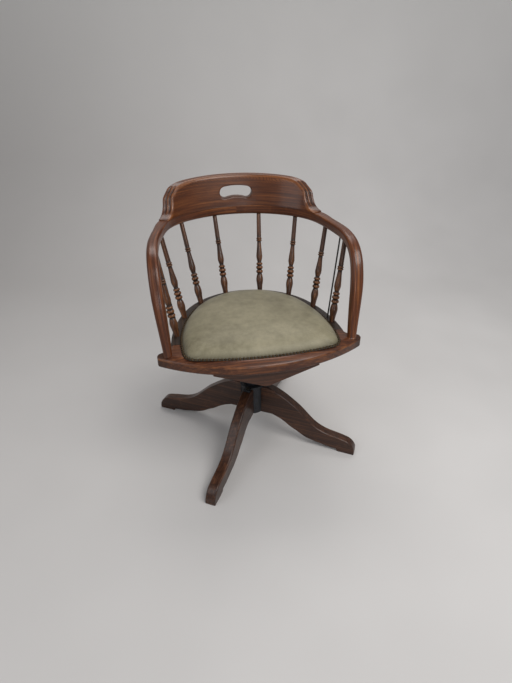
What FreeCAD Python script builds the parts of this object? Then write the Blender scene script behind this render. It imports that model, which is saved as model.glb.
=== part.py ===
import FreeCAD, Part
import math
import os

# Bankers swivel chair: a bow-arm desk chair in oak on a four-legged base with a raising screw.
# Units are millimetres. The origin is on the floor at the swivel axis, +Z is up,
# the front of the chair faces -Y, and the sitter's left side is +X.

V = FreeCAD.Vector
UP = V(0, 0, 1)

# Driving dimensions of the seat frame
SEAT_HEIGHT = 460.0
SEAT_THICKNESS = 39.0
SEAT_HALF_WIDTH = 262.0
SEAT_BACK_DEPTH = 214.5
SEAT_SIDE_BULGE = 23.7
SEAT_SIDE_RADIUS = 453.0
SEAT_SIDE_END = -137.0
SEAT_FRONT_DEPTH = 257.5
SEAT_FRONT_RADIUS = 540.0
EAR_REACH = 50.0
EAR_ROUNDING = 9.0
SEAT_TOP_ROUNDING = 8.0
SEAT_BOTTOM_ROUNDING = 5.0
RAIL_WIDTH = 62.0
FRONT_RAIL_WIDTH = 76.0
FRONT_JOINT_DEPTH = 118.0
BACK_JOINT_ANGLE = 32.0
BOARD_THICKNESS = 6.0
BOARD_LEDGE = 10.0
DOWEL_RADIUS = 4.75
DOWEL_LENGTH = 50.0

# Driving dimensions of the pad and its nails
PAD_INSET = 27.0
PAD_FRONT_INSET = 24.5
PAD_FRONT_RADIUS = 1000.0
PAD_CORNER_RADIUS = 42.0
PAD_EDGE_WIDTH = 8.0
PAD_EDGE_THICKNESS = 2.2
PAD_CROWN = 44.0
NAIL_PITCH = 10.2
NAIL_HEAD_RADIUS = 4.6
NAIL_HEAD_HEIGHT = 2.4
NAIL_SHANK_RADIUS = 0.9
NAIL_SHANK_LENGTH = 9.0

# Driving dimensions of the bow that makes the arms and carries the crest
ARM_RISE = 259.0
BOW_WIDTH = 31.0
BOW_THICKNESS = 31.0
BOW_BACK_DEPTH = 316.0
BOW_BACK_FLATTENING = 27.0
BOW_CORNER_RADIUS = 193.0
BOW_SIDE_RADIUS = 800.0
ARM_OUTREACH = 24.3
BOW_SIDE_CENTRE = -65.0
BOW_ROUNDING = 10.0
BOW_BACK_ROUNDING = 2.0
KNEE_START = 26.0
KNEE_ARCS = ((300.0, 12.0), (110.0, 48.0), (260.0, 18.0))
POST_FOOT_OUTREACH = 9.5
POST_FOOT_LEAN = -0.05
POST_SWELL = 34.0
POST_FOOT_SIZE = 24.0
POST_TENON_RADIUS = 9.0
POST_TENON_LENGTH = 26.0

# Driving dimensions of the crest rail
CREST_HEIGHT = 98.5
CREST_SHOULDER_HEIGHT = 91.0
CREST_LEAN_FRONT = 0.31
CREST_LEAN_BACK = 0.205
CREST_END = 168.0
CREST_FEATHER = 1.2
HANDHOLD_HALF_WIDTH = 55.0
HANDHOLD_LOBE_RADIUS = 18.5
HANDHOLD_RISE = 41.5
HANDHOLD_ARCH = 5.5
CREST_SCREW_RADIUS = 2.5
CREST_SCREW_LENGTH = 42.0

# Driving dimensions of the spindles and the stay rods
SPINDLE_SEATS = (-66.0, 45.0, 138.0, 190.0)
SPINDLE_HEADS = (-10.0, 119.6, 244.3, 302.3)
SPINDLE_SEAT_INSET = 16.0
SPINDLE_BOW_OFFSET = 4.0
SPINDLE_FOOT_RADIUS = 8.0
SPINDLE_HEAD_RADIUS = 7.0
SPINDLE_VASE_RADIUS = 12.0
SPINDLE_UPPER_VASE_RADIUS = 10.5
SPINDLE_RING_RADIUS = 11.8
SPINDLE_COLLAR_RADIUS = 9.6
SPINDLE_SHAFT_RADIUS = 7.6
SPINDLE_NECK_RADIUS = 6.6
SPINDLE_TENON_RADIUS = 6.0
SPINDLE_SEAT_TENON = 22.0
SPINDLE_BOW_TENON = 14.0
STAY_RADIUS = 2.4
STAY_SEAT = -40.0
STAY_HEAD = 24.0
STAY_SEAT_INSET = 18.0
STAY_BOW_DEPTH = 14.0
STAY_NUT_RADIUS = 6.0
STAY_NUT_HEIGHT = 5.0
STAY_WASHER_RADIUS = 8.0
STAY_WASHER_HEIGHT = 1.5

# Driving dimensions of the bearers and the iron spider under the seat
BEARER_HALF_LENGTH = 153.0
BEARER_DEPTH = 57.0
BEARER_END_DEPTH = 2.5
BEARER_TIP = 5.0
BEARER_THICKNESS = 32.0
FRONT_BEARER_FACE = -235.0
REAR_BEARER_FACE = 134.0
BEARER_SCREW_X = (70.0, 132.0)
SPIDER_THICKNESS = 10.0
SPIDER_ARM_WIDTH = 26.0
SPIDER_FOOT_X = 38.0
SPIDER_FOOT_WIDTH = 36.0
SPIDER_FOOT_HEIGHT = 50.0
SPIDER_BOSS_RADIUS = 24.0
SPIDER_BOSS_TOP_RADIUS = 34.0
SPIDER_RIB_WIDTH = 8.0

# Driving dimensions of the base
LEG_ANGLE = 239.25
LEG_THICKNESS = 33.0
LEG_REACH = 376.0
LEG_ROUNDING = 4.5
HUB_TOP = 205.0
HUB_BOTTOM = 98.0
HUB_RADIUS = 40.0
HUB_FLAT = 37.5
HUB_FLANGE_RADIUS = 44.0
HUB_FLANGE_THICKNESS = 7.0
HUB_TONGUE_WIDTH = 22.0
HUB_TONGUE_REACH = 60.0
LEG_ROOT = 62.0
BOTTOM_PLATE_RADIUS = 34.0
BOTTOM_PLATE_THICKNESS = 5.0
LEG_SCREW_REACH = 50.0
LEG_SCREW_RADIUS = 3.0
LEG_SCREW_LENGTH = 42.0

# Driving dimensions of the raising screw and the swivel pivot
SCREW_RADIUS = 16.0
SCREW_BOTTOM = 100.0
RUNNING_CLEARANCE = 0.05
NUT_HEIGHT = 26.0
NUT_RADIUS = 30.0
NUT_BAR_RADIUS = 5.0
COLLAR_RADIUS = 20.0
COLLAR_HEIGHT = 6.0
WASHER_HEIGHT = 4.0
PIVOT_RADIUS = 12.0
PIVOT_END = 14.0
RETAINER_RADIUS = 19.0
RETAINER_HEIGHT = 8.0
LIFT_TRAVEL = 80.0
KEY_WIDTH = 6.0
KEY_DEPTH = 3.0
KEY_LENGTH = 35.0
KEY_CLEARANCE = 0.35
GLUE_CLEARANCE = 0.05
BODY_GAP = 0.4

# Heights and centres worked out from the driving dimensions
SEAT_BOTTOM = SEAT_HEIGHT - SEAT_THICKNESS
SEAT_BACK_RADIUS = SEAT_HALF_WIDTH - SEAT_SIDE_BULGE
EAR_HALF_WIDTH = SEAT_HALF_WIDTH + EAR_REACH
BOW_HEIGHT = SEAT_HEIGHT + ARM_RISE
BOW_HALF_WIDTH = SEAT_HALF_WIDTH + ARM_OUTREACH
BOW_BACK_RADIUS = BOW_HALF_WIDTH + BOW_BACK_FLATTENING
POST_FOOT_X = SEAT_HALF_WIDTH + POST_FOOT_OUTREACH
SEAT_BACK_CENTRE = V(0, SEAT_BACK_DEPTH - SEAT_BACK_RADIUS, 0)
BOW_BOTTOM = BOW_HEIGHT - BOW_THICKNESS / 2
BOW_TOP = BOW_HEIGHT + BOW_THICKNESS / 2
BOW_BACK_CENTRE = V(0, BOW_BACK_DEPTH - BOW_BACK_RADIUS, 0)
BOW_SIDE_CENTRE_POINT = V(BOW_HALF_WIDTH - BOW_SIDE_RADIUS, BOW_SIDE_CENTRE, 0)
BEARER_BOTTOM = SEAT_BOTTOM - BEARER_DEPTH
FLANGE_TOP = HUB_TOP + HUB_FLANGE_THICKNESS
NUT_TOP = FLANGE_TOP + NUT_HEIGHT
COLLAR_TOP = NUT_TOP + COLLAR_HEIGHT
WASHER_TOP = COLLAR_TOP + WASHER_HEIGHT
SPIDER_TOP = BEARER_BOTTOM + SPIDER_THICKNESS


def save(shape, name):
    shape.exportStep("parts/" + name + ".step")


def circles_meet(c1, r1, c2, r2, high):
    # The point where two circles in plan meet; high picks the one with the larger y.
    gap = (c2 - c1).Length
    along = (r1 * r1 - r2 * r2 + gap * gap) / (2 * gap)
    side = math.sqrt(r1 * r1 - along * along)
    unit = (c2 - c1) / gap
    foot = c1 + unit * along
    points = [foot + V(-unit.y, unit.x, 0) * side, foot - V(-unit.y, unit.x, 0) * side]
    points.sort(key=lambda p: p.y)
    return points[1] if high else points[0]


def side_centre(back_centre, back_radius, side_radius, half_width):
    # The centre of a side arc that is tangent to the back arc and reaches half_width.
    x = half_width - side_radius
    drop = math.sqrt((side_radius - back_radius) ** 2 - x * x)
    return V(x, back_centre.y - drop, 0)


SEAT_SIDE_CENTRE = side_centre(SEAT_BACK_CENTRE, SEAT_BACK_RADIUS, SEAT_SIDE_RADIUS, SEAT_HALF_WIDTH)


def angle_of(vector):
    return math.atan2(vector.y, vector.x)


def on_circle(centre, radius, angle):
    return centre + V(math.cos(angle), math.sin(angle), 0) * radius


def plan_arc(centre, radius, start, end):
    # A short-way arc in plan from angle start to angle end.
    middle = on_circle(centre, radius, (start + end) / 2)
    return Part.Arc(on_circle(centre, radius, start), middle, on_circle(centre, radius, end)).toShape()


def mirrored_x(shape):
    return shape.mirror(V(0, 0, 0), V(1, 0, 0))


def flip(point):
    return V(-point.x, point.y, point.z)


def prism(points, direction):
    return Part.Face(Part.makePolygon(list(points) + [points[0]])).extrude(direction)


def rod(start, end, radius):
    return Part.makeCylinder(radius, (end - start).Length, start, end - start)


def cut_all(shape, tools):
    for tool in tools:
        shape = shape.cut(tool)
    return shape


# Seat outline
def side_x(y, inset):
    # Half width of the seat edge at depth y, moved in by inset.
    if y > SEAT_BACK_CENTRE.y and abs(y) <= SEAT_BACK_RADIUS:
        joint = SEAT_BACK_CENTRE - SEAT_SIDE_CENTRE
        joint_y = SEAT_BACK_CENTRE.y + (SEAT_BACK_RADIUS - inset) * joint.y / joint.Length
        if y > joint_y:
            return math.sqrt((SEAT_BACK_RADIUS - inset) ** 2 - (y - SEAT_BACK_CENTRE.y) ** 2)
    return SEAT_SIDE_CENTRE.x + math.sqrt((SEAT_SIDE_RADIUS - inset) ** 2 - (y - SEAT_SIDE_CENTRE.y) ** 2)


def back_and_sides(inset, side_end):
    # The back arc and the two side arcs, moved in by inset, from left to right.
    joint = angle_of(SEAT_BACK_CENTRE - SEAT_SIDE_CENTRE)
    end = math.asin((side_end - SEAT_SIDE_CENTRE.y) / (SEAT_SIDE_RADIUS - inset))
    right = plan_arc(SEAT_SIDE_CENTRE, SEAT_SIDE_RADIUS - inset, end, joint)
    back = plan_arc(SEAT_BACK_CENTRE, SEAT_BACK_RADIUS - inset, joint, math.pi - joint)
    return [right, back, mirrored_x(right)]


def seat_solid():
    front_centre = V(0, SEAT_FRONT_RADIUS - SEAT_FRONT_DEPTH, 0)
    half = math.asin(EAR_HALF_WIDTH / SEAT_FRONT_RADIUS)
    ear = on_circle(front_centre, SEAT_FRONT_RADIUS, half - math.pi / 2)
    side = V(side_x(SEAT_SIDE_END, 0), SEAT_SIDE_END, 0)
    front = plan_arc(front_centre, SEAT_FRONT_RADIUS, -half - math.pi / 2, half - math.pi / 2)
    edges = back_and_sides(0, SEAT_SIDE_END)
    edges += [front, Part.makeLine(ear, side), Part.makeLine(flip(ear), flip(side))]
    wire = Part.Wire(Part.__sortEdges__(edges))
    solid = Part.Face(wire).extrude(UP * SEAT_THICKNESS)
    ears = [e for e in solid.Edges if is_upright(e) and abs(e.CenterOfMass.x) > EAR_HALF_WIDTH - 1]
    solid = solid.makeFillet(EAR_ROUNDING, ears)
    hollows = [e for e in solid.Edges if is_upright(e) and abs(e.CenterOfMass.y - SEAT_SIDE_END) < 1]
    solid = solid.makeFillet(2 * EAR_ROUNDING, hollows)
    solid.translate(UP * SEAT_BOTTOM)
    solid = solid.makeFillet(SEAT_TOP_ROUNDING, edges_at(solid, SEAT_HEIGHT))
    return solid.makeFillet(SEAT_BOTTOM_ROUNDING, edges_at(solid, SEAT_BOTTOM))


def is_upright(edge):
    box = edge.BoundBox
    return box.ZLength > 1 and box.XLength < 0.01 and box.YLength < 0.01


def edges_at(solid, height):
    level = [e for e in solid.Edges if e.BoundBox.ZLength < 0.01]
    return [e for e in level if abs(e.CenterOfMass.z - height) < 0.01]


def opening_solid(inset, front_width, bottom, top):
    front_y = front_width - SEAT_FRONT_DEPTH
    edges = back_and_sides(inset, front_y)
    corner = V(side_x(front_y, inset), front_y, 0)
    edges.append(Part.makeLine(flip(corner), corner))
    wire = Part.Wire(Part.__sortEdges__(edges))
    solid = Part.Face(wire).extrude(UP * (top - bottom))
    solid = solid.makeFillet(2 * EAR_ROUNDING, [e for e in solid.Edges if is_upright(e)
                                                and abs(e.CenterOfMass.y - front_y) < 1])
    solid.translate(UP * bottom)
    return solid


# Bow plan: a back arc, two corner arcs and two side arcs, all tangent
BOW_CORNER_CENTRE = circles_meet(BOW_BACK_CENTRE, BOW_BACK_RADIUS - BOW_CORNER_RADIUS,
                                 BOW_SIDE_CENTRE_POINT, BOW_SIDE_RADIUS - BOW_CORNER_RADIUS, True)
BACK_TO_CORNER = angle_of(BOW_CORNER_CENTRE - BOW_BACK_CENTRE)
CORNER_TO_SIDE = angle_of(BOW_CORNER_CENTRE - BOW_SIDE_CENTRE_POINT)


def bow_x(y, offset):
    # Half width of the bow's centre line at depth y, moved out by offset.
    corner_start = BOW_CORNER_CENTRE.y + (BOW_CORNER_RADIUS + offset) * math.sin(CORNER_TO_SIDE)
    corner_end = BOW_CORNER_CENTRE.y + (BOW_CORNER_RADIUS + offset) * math.sin(BACK_TO_CORNER)
    centre, radius = BOW_BACK_CENTRE, BOW_BACK_RADIUS
    if y < corner_start:
        centre, radius = BOW_SIDE_CENTRE_POINT, BOW_SIDE_RADIUS
    elif y < corner_end:
        centre, radius = BOW_CORNER_CENTRE, BOW_CORNER_RADIUS
    return centre.x + math.sqrt((radius + offset) ** 2 - (y - centre.y) ** 2)


def rounded_section(origin, out, up, width, height, bottom_round, top_round):
    # A rectangle with rounded corners, width along out and height along up.
    w, h = width / 2, height / 2
    corners = [(-w, -h, bottom_round), (w, -h, bottom_round), (w, h, top_round), (-w, h, top_round)]
    edges = []
    starts = []
    for x, y, r in corners:
        sx, sy = math.copysign(1, x), math.copysign(1, y)
        centre = origin + out * (x - sx * r) + up * (y - sy * r)
        on_side = centre + out * (sx * r)
        on_flat = centre + up * (sy * r)
        middle = centre + (out * sx + up * sy) * (r / math.sqrt(2))
        first, last = (on_side, on_flat) if sx * sy > 0 else (on_flat, on_side)
        starts.append((first, middle, last))
    for i in range(4):
        first, middle, last = starts[i]
        edges.append(Part.Arc(first, middle, last).toShape())
        edges.append(Part.makeLine(last, starts[(i + 1) % 4][0]))
    return Part.Wire(edges)


def turned_sector(make_face, centre, radius, start, end):
    # A face in the upright plane at angle start, turned about an upright axis to angle end.
    out = V(math.cos(start), math.sin(start), 0)
    face = make_face(centre + out * radius, out)
    return face.revolve(centre, UP, math.degrees(end - start))


def bow_face(point, out):
    centre = point + UP * BOW_HEIGHT
    wire = rounded_section(centre, out, UP, BOW_WIDTH, BOW_THICKNESS, BOW_ROUNDING, BOW_BACK_ROUNDING)
    return Part.Face(wire)


def knee_path():
    # Side view of the arm from the start of the bend to the seat: (length, y, z, pitch).
    y, z, pitch, length = KNEE_START, BOW_HEIGHT, 0.0, 0.0
    stations = [(length, y, z, pitch)]
    for radius, turn in KNEE_ARCS:
        steps = max(2, round(turn / 12))
        step = math.radians(turn) / steps
        for _ in range(steps):
            y -= radius * (math.sin(pitch + step) - math.sin(pitch))
            z -= radius * (math.cos(pitch) - math.cos(pitch + step))
            pitch += step
            length += radius * step
            stations.append((length, y, z, pitch))
    post = (z - SEAT_HEIGHT) / math.sin(pitch)
    for share in (0.25, 0.5, 0.75, 1.0):
        stations.append((length + share * post, y - share * post * math.cos(pitch),
                         z - share * post * math.sin(pitch), pitch))
    return stations


KNEE_STATIONS = knee_path()
KNEE_LENGTH = KNEE_STATIONS[-1][0]
POST_FOOT_Y = KNEE_STATIONS[-1][1]
POST_PITCH = KNEE_STATIONS[-1][3]


def arm_x(length):
    # Smooth change of the arm's half width from the bend to the seat.
    start_x = bow_x(KNEE_START, 0)
    heading = math.asin((KNEE_START - BOW_SIDE_CENTRE) / BOW_SIDE_RADIUS)
    t = length / KNEE_LENGTH
    return (start_x * (2 * t ** 3 - 3 * t ** 2 + 1) + math.tan(heading) * KNEE_LENGTH * (t ** 3 - 2 * t ** 2 + t)
            + POST_FOOT_X * (3 * t ** 2 - 2 * t ** 3) + POST_FOOT_LEAN * KNEE_LENGTH * (t ** 3 - t ** 2))


def arm_size(length):
    # Width across the arm: even to the bend, swelling in the post, then tapering to the seat.
    t = length / KNEE_LENGTH
    if t < 0.55:
        return BOW_WIDTH + (POST_SWELL - BOW_WIDTH) * t / 0.55
    return POST_SWELL - (POST_SWELL - POST_FOOT_SIZE) * ((t - 0.55) / 0.45) ** 1.4


def arm_sections():
    sections = []
    start = CORNER_TO_SIDE
    end = math.asin((KNEE_START - BOW_SIDE_CENTRE) / BOW_SIDE_RADIUS)
    for share in (0.0, 0.2, 0.45, 0.7):
        angle = start + (end - start) * share
        out = V(math.cos(angle), math.sin(angle), 0)
        centre = on_circle(BOW_SIDE_CENTRE_POINT, BOW_SIDE_RADIUS, angle) + UP * BOW_HEIGHT
        top = BOW_BACK_ROUNDING + (BOW_ROUNDING - BOW_BACK_ROUNDING) * min(1.0, share / 0.45)
        sections.append(rounded_section(centre, out, UP, BOW_WIDTH, BOW_THICKNESS, BOW_ROUNDING, top))
    for length, y, z, pitch in KNEE_STATIONS:
        ahead = min(length + 1, KNEE_LENGTH)
        slope = (arm_x(ahead) - arm_x(ahead - 1))
        tangent = V(slope, -math.cos(pitch), -math.sin(pitch)).normalize()
        out = (V(1, 0, 0) - tangent * tangent.x).normalize()
        up = tangent.cross(out)
        if length == KNEE_LENGTH:
            out, up = V(1, 0, 0), V(0, -1, 0)
        size = arm_size(length)
        depth = min(size, BOW_THICKNESS)
        rounding = BOW_ROUNDING * depth / BOW_THICKNESS
        sections.append(rounded_section(V(arm_x(length), y, z), out, up, size, depth, rounding, rounding))
    return sections


def post_tenon(extra):
    foot = V(POST_FOOT_X, POST_FOOT_Y, SEAT_HEIGHT)
    return Part.makeCylinder(POST_TENON_RADIUS + extra, POST_TENON_LENGTH + extra, foot, V(0, 0, -1))


def bow_solid():
    back = turned_sector(bow_face, BOW_BACK_CENTRE, BOW_BACK_RADIUS, BACK_TO_CORNER, math.pi - BACK_TO_CORNER)
    corner = turned_sector(bow_face, BOW_CORNER_CENTRE, BOW_CORNER_RADIUS, CORNER_TO_SIDE, BACK_TO_CORNER)
    arm = Part.makeLoft(arm_sections(), True, False)
    half = corner.fuse([arm, post_tenon(0)])
    return back.fuse([half, mirrored_x(half)])


# Crest rail
def crest_face(point, out):
    rise = CREST_HEIGHT + 5
    base = point + UP * BOW_TOP
    inner, outer = -BOW_WIDTH / 2, BOW_WIDTH / 2
    corners = [base + out * inner, base + out * outer,
               base + out * (outer + CREST_LEAN_BACK * rise) + UP * rise,
               base + out * (inner + CREST_LEAN_FRONT * rise) + UP * rise]
    return Part.Face(Part.makePolygon(corners + [corners[0]]))


def crest_profile():
    # Side elevation of the crest: nearly level, a rounded shoulder, then an ogee down to the arm.
    back = BOW_BACK_DEPTH + 44
    top = BOW_TOP + CREST_HEIGHT
    shoulder = BOW_TOP + CREST_SHOULDER_HEIGHT
    drops = ((0, 0), (26, -8.5), (45, -24), (60, -38), (69, -56), (78, -69), (93, -81), (110, -87.5))
    curve = Part.BSplineCurve()
    curve.interpolate([V(0, 292 - run, shoulder + fall) for run, fall in drops]
                      + [V(0, CREST_END, BOW_TOP + CREST_FEATHER)])
    edges = [Part.makeLine(V(0, CREST_END, BOW_TOP), V(0, back, BOW_TOP)),
             Part.makeLine(V(0, back, BOW_TOP), V(0, back, top)),
             Part.makeLine(V(0, back, top), V(0, 292, shoulder)),
             curve.toShape(),
             Part.makeLine(V(0, CREST_END, BOW_TOP + CREST_FEATHER), V(0, CREST_END, BOW_TOP))]
    reach = BOW_HALF_WIDTH + 60
    face = Part.Face(Part.Wire(edges))
    face.translate(V(-reach, 0, 0))
    return face.extrude(V(2 * reach, 0, 0))


def handhold():
    # Kidney-shaped hand hole through the crest, cut front to back.
    x = HANDHOLD_HALF_WIDTH - HANDHOLD_LOBE_RADIUS
    z = BOW_TOP + HANDHOLD_RISE
    r = HANDHOLD_LOBE_RADIUS
    y = BOW_BACK_DEPTH - 60
    left_top, right_top = V(-x, y, z + r), V(x, y, z + r)
    left_low, right_low = V(-x, y, z - r), V(x, y, z - r)
    edges = [Part.Arc(left_top, V(0, y, z + r + HANDHOLD_ARCH / 2), right_top).toShape(),
             Part.Arc(right_top, V(x + r, y, z), right_low).toShape(),
             Part.Arc(right_low, V(0, y, z - r + HANDHOLD_ARCH), left_low).toShape(),
             Part.Arc(left_low, V(-x - r, y, z), left_top).toShape()]
    return Part.Face(Part.Wire(edges)).extrude(V(0, 160, 0))


def crest_solid():
    back = turned_sector(crest_face, BOW_BACK_CENTRE, BOW_BACK_RADIUS, BACK_TO_CORNER, math.pi - BACK_TO_CORNER)
    corner = turned_sector(crest_face, BOW_CORNER_CENTRE, BOW_CORNER_RADIUS,
                           CORNER_TO_SIDE - math.radians(2), BACK_TO_CORNER)
    wall = back.fuse([corner, mirrored_x(corner)])
    return wall.common(crest_profile()).cut(handhold())


def crest_screw_places():
    places = []
    for angle in (66.0, 82.0):
        places.append(on_circle(BOW_BACK_CENTRE, BOW_BACK_RADIUS, math.radians(angle)))
    places.append(on_circle(BOW_CORNER_CENTRE, BOW_CORNER_RADIUS, math.radians(46.0)))
    return places + [flip(p) for p in places]


def crest_screw(place, extra):
    start = place + UP * (BOW_BOTTOM + 4 - extra)
    head = Part.makeCylinder(2 * CREST_SCREW_RADIUS + extra, 3 + extra, start, UP)
    shank = Part.makeCylinder(CREST_SCREW_RADIUS + extra, CREST_SCREW_LENGTH + 2 * extra, start, UP)
    return head.fuse(shank)


def crest_screw_hole(place):
    mouth = Part.makeCylinder(2 * CREST_SCREW_RADIUS + GLUE_CLEARANCE, 8, place + UP * (BOW_BOTTOM - 4), UP)
    return crest_screw(place, GLUE_CLEARANCE).fuse(mouth)


# Spindles
def spindle_ends():
    # Seat and bow ends of the four spindles on the +X side, front to back.
    ends = []
    for seat_y, head_y in zip(SPINDLE_SEATS, SPINDLE_HEADS):
        foot = V(side_x(seat_y, SPINDLE_SEAT_INSET), seat_y, SEAT_HEIGHT)
        head = V(bow_x(head_y, -SPINDLE_BOW_OFFSET), head_y, BOW_BOTTOM)
        ends.append((foot, head))
    return ends


def bead(low, high, radius):
    # A rounded ring between two points of the turning's outline.
    middle = V(radius, 0, (low.z + high.z) / 2)
    return Part.Arc(low, middle, high).toShape()


def smooth(points, first=None, last=None):
    # A smooth curve through the points, leaving along first and arriving along last.
    curve = Part.BSplineCurve()
    if first:
        curve.interpolate(Points=points, InitialTangent=first, FinalTangent=last)
    else:
        curve.interpolate(points)
    return curve.toShape()


def spindle_solid(foot, head):
    # The turned outline from the seat to the bow, then a tenon at each end.
    length = (head - foot).Length

    def at(share, radius):
        return V(radius, 0, share * length)

    neck, ring, collar = SPINDLE_NECK_RADIUS, SPINDLE_RING_RADIUS, SPINDLE_COLLAR_RADIUS
    lower = smooth([at(0, SPINDLE_FOOT_RADIUS), at(0.07, 9.4), at(0.15, SPINDLE_VASE_RADIUS),
                    at(0.2, 10.2), at(0.228, neck + 0.9)])
    edges = [lower]
    place = at(0.228, neck + 0.9)
    for low, high, radius in ((0.236, 0.272, ring), (0.288, 0.324, ring), (0.338, 0.368, ring - 1)):
        start, end = at(low, radius - 2.6), at(high, radius - 2.6)
        edges += [Part.makeLine(place, start), bead(start, end, radius)]
        place = at(high + 0.006, radius - 4)
        edges.append(Part.makeLine(end, place))
    start = at(0.385, neck + 0.6)
    edges.append(Part.makeLine(place, start))
    last = at(0.64, neck)
    edges.append(smooth([start, at(0.405, 8.6), at(0.445, SPINDLE_UPPER_VASE_RADIUS), at(0.5, 9.6),
                         at(0.57, 7.8), last]))
    place = last
    for low, high in ((0.645, 0.664), (0.67, 0.689)):
        start, end = at(low, collar - 1.8), at(high, collar - 1.8)
        edges += [Part.makeLine(place, start), bead(start, end, collar)]
        place = at(high + 0.003, collar - 2.4)
        edges.append(Part.makeLine(end, place))
    shaft = at(0.71, SPINDLE_SHAFT_RADIUS)
    top = at(1.0, SPINDLE_HEAD_RADIUS)
    edges += [Part.makeLine(place, shaft), Part.makeLine(shaft, top)]
    tenon = SPINDLE_TENON_RADIUS
    corners = [top, V(tenon, 0, length), V(tenon, 0, length + SPINDLE_BOW_TENON),
               V(0, 0, length + SPINDLE_BOW_TENON), V(0, 0, -SPINDLE_SEAT_TENON),
               V(tenon, 0, -SPINDLE_SEAT_TENON), V(tenon, 0, 0), at(0, SPINDLE_FOOT_RADIUS)]
    for a, b in zip(corners[:-1], corners[1:]):
        edges.append(Part.makeLine(a, b))
    face = Part.Face(Part.Wire(Part.__sortEdges__(edges)))
    solid = face.revolve(V(0, 0, 0), UP, 360)
    solid.Placement = FreeCAD.Placement(foot, FreeCAD.Rotation(UP, head - foot))
    return solid


def spindle_trim(foot, head):
    # Keeps the slanting spindle's shoulders flat on the seat and under the bow.
    along = (head - foot).normalize()
    seat_plug = rod(foot - along * SPINDLE_SEAT_TENON, foot + along * 8, SPINDLE_TENON_RADIUS)
    bow_plug = rod(head - along * 8, head + along * SPINDLE_BOW_TENON, SPINDLE_TENON_RADIUS)
    reach = 2 * EAR_HALF_WIDTH + BOW_HALF_WIDTH
    room = Part.makeBox(2 * reach, 2 * reach, BOW_BOTTOM - SEAT_HEIGHT, V(-reach, -reach, SEAT_HEIGHT))
    return room, seat_plug.fuse(bow_plug)


def seated_spindle(foot, head):
    along = (head - foot).normalize()
    body = spindle_solid(foot, head)
    longer = body.fuse([rod(foot - along * 6, foot, SPINDLE_FOOT_RADIUS),
                        rod(head, head + along * 6, SPINDLE_HEAD_RADIUS)])
    room, plugs = spindle_trim(foot, head)
    return longer.common(room).fuse(plugs).removeSplitter()


def spindle_holes(foot, head, extra):
    along = (head - foot).normalize()
    seat_hole = rod(foot - along * (SPINDLE_SEAT_TENON + extra), foot + along * 20, SPINDLE_TENON_RADIUS + extra)
    bow_hole = rod(head - along * 20, head + along * (SPINDLE_BOW_TENON + extra), SPINDLE_TENON_RADIUS + extra)
    shaft = rod(head - along * 20, head + along * 6, SPINDLE_HEAD_RADIUS + extra)
    below = Part.makeBox(60, 60, 60, V(head.x - 30, head.y - 30, BOW_BOTTOM + extra - 60))
    return seat_hole, bow_hole.fuse(shaft.common(below))


# Stay rods
def stay_ends():
    foot = V(side_x(STAY_SEAT, STAY_SEAT_INSET), STAY_SEAT, SEAT_HEIGHT)
    head = V(bow_x(STAY_HEAD, -SPINDLE_BOW_OFFSET), STAY_HEAD, BOW_BOTTOM)
    return foot, head


def stay_line():
    # The rod's line from below its nut to its end inside the bow.
    foot, head = stay_ends()
    along = (head - foot).normalize()
    under = foot - along * (SEAT_THICKNESS / along.z)
    below = STAY_WASHER_HEIGHT + STAY_NUT_HEIGHT + 3
    return under - along * below, head + along * STAY_BOW_DEPTH, under, along


def stay_rod():
    start, end, under, along = stay_line()
    return rod(start, end, STAY_RADIUS)


def stay_nut():
    start, end, under, along = stay_line()
    # The washer is let square to the rod against a small flat spot under the seat.
    washer = Part.makeCylinder(STAY_WASHER_RADIUS, STAY_WASHER_HEIGHT, under, along * -1)
    nut = hexagon(STAY_NUT_RADIUS, STAY_NUT_HEIGHT)
    nut.Placement = FreeCAD.Placement(under - along * STAY_WASHER_HEIGHT, FreeCAD.Rotation(UP, along * -1))
    hole = rod(start - along * 10, under + along * 10, STAY_RADIUS + GLUE_CLEARANCE)
    return washer.fuse(nut).cut(hole)


def stay_spot_face():
    start, end, under, along = stay_line()
    return Part.makeCylinder(STAY_WASHER_RADIUS + 1, 20, under, along * -1)


def hexagon(radius, height):
    points = [V(radius * math.cos(math.radians(60 * i)), radius * math.sin(math.radians(60 * i)), 0)
              for i in range(6)]
    return prism(points, UP * height)


# Seat frame parts
def dowel_lines():
    # Start and end of each dowel across the four joints of the seat frame.
    half = DOWEL_LENGTH / 2
    z = SEAT_BOTTOM + SEAT_THICKNESS * 0.46
    lines = []
    for inset in (RAIL_WIDTH * 0.3, RAIL_WIDTH * 0.72):
        x = side_x(-FRONT_JOINT_DEPTH, inset)
        lines.append((V(x, -FRONT_JOINT_DEPTH - half, z), V(x, -FRONT_JOINT_DEPTH + half, z)))
        angle = math.radians(BACK_JOINT_ANGLE)
        point = on_circle(SEAT_BACK_CENTRE, SEAT_BACK_RADIUS - inset, angle) + UP * z
        across = V(-math.sin(angle), math.cos(angle), 0)
        lines.append((point - across * half, point + across * half))
    return lines + [(flip(a), flip(b)) for a, b in lines]


def joint_regions():
    # Blocks of space that divide the seat ring into its four rails.
    far = 700.0
    front = Part.makeBox(2 * far, far, far, V(-far, -far - FRONT_JOINT_DEPTH, 0))
    angle = math.radians(BACK_JOINT_ANGLE)
    tip = on_circle(SEAT_BACK_CENTRE, far, angle)
    wedge = [SEAT_BACK_CENTRE, tip, V(tip.x, far, 0), V(-tip.x, far, 0), flip(tip)]
    back = prism(wedge, UP * far)
    return front, back


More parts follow.
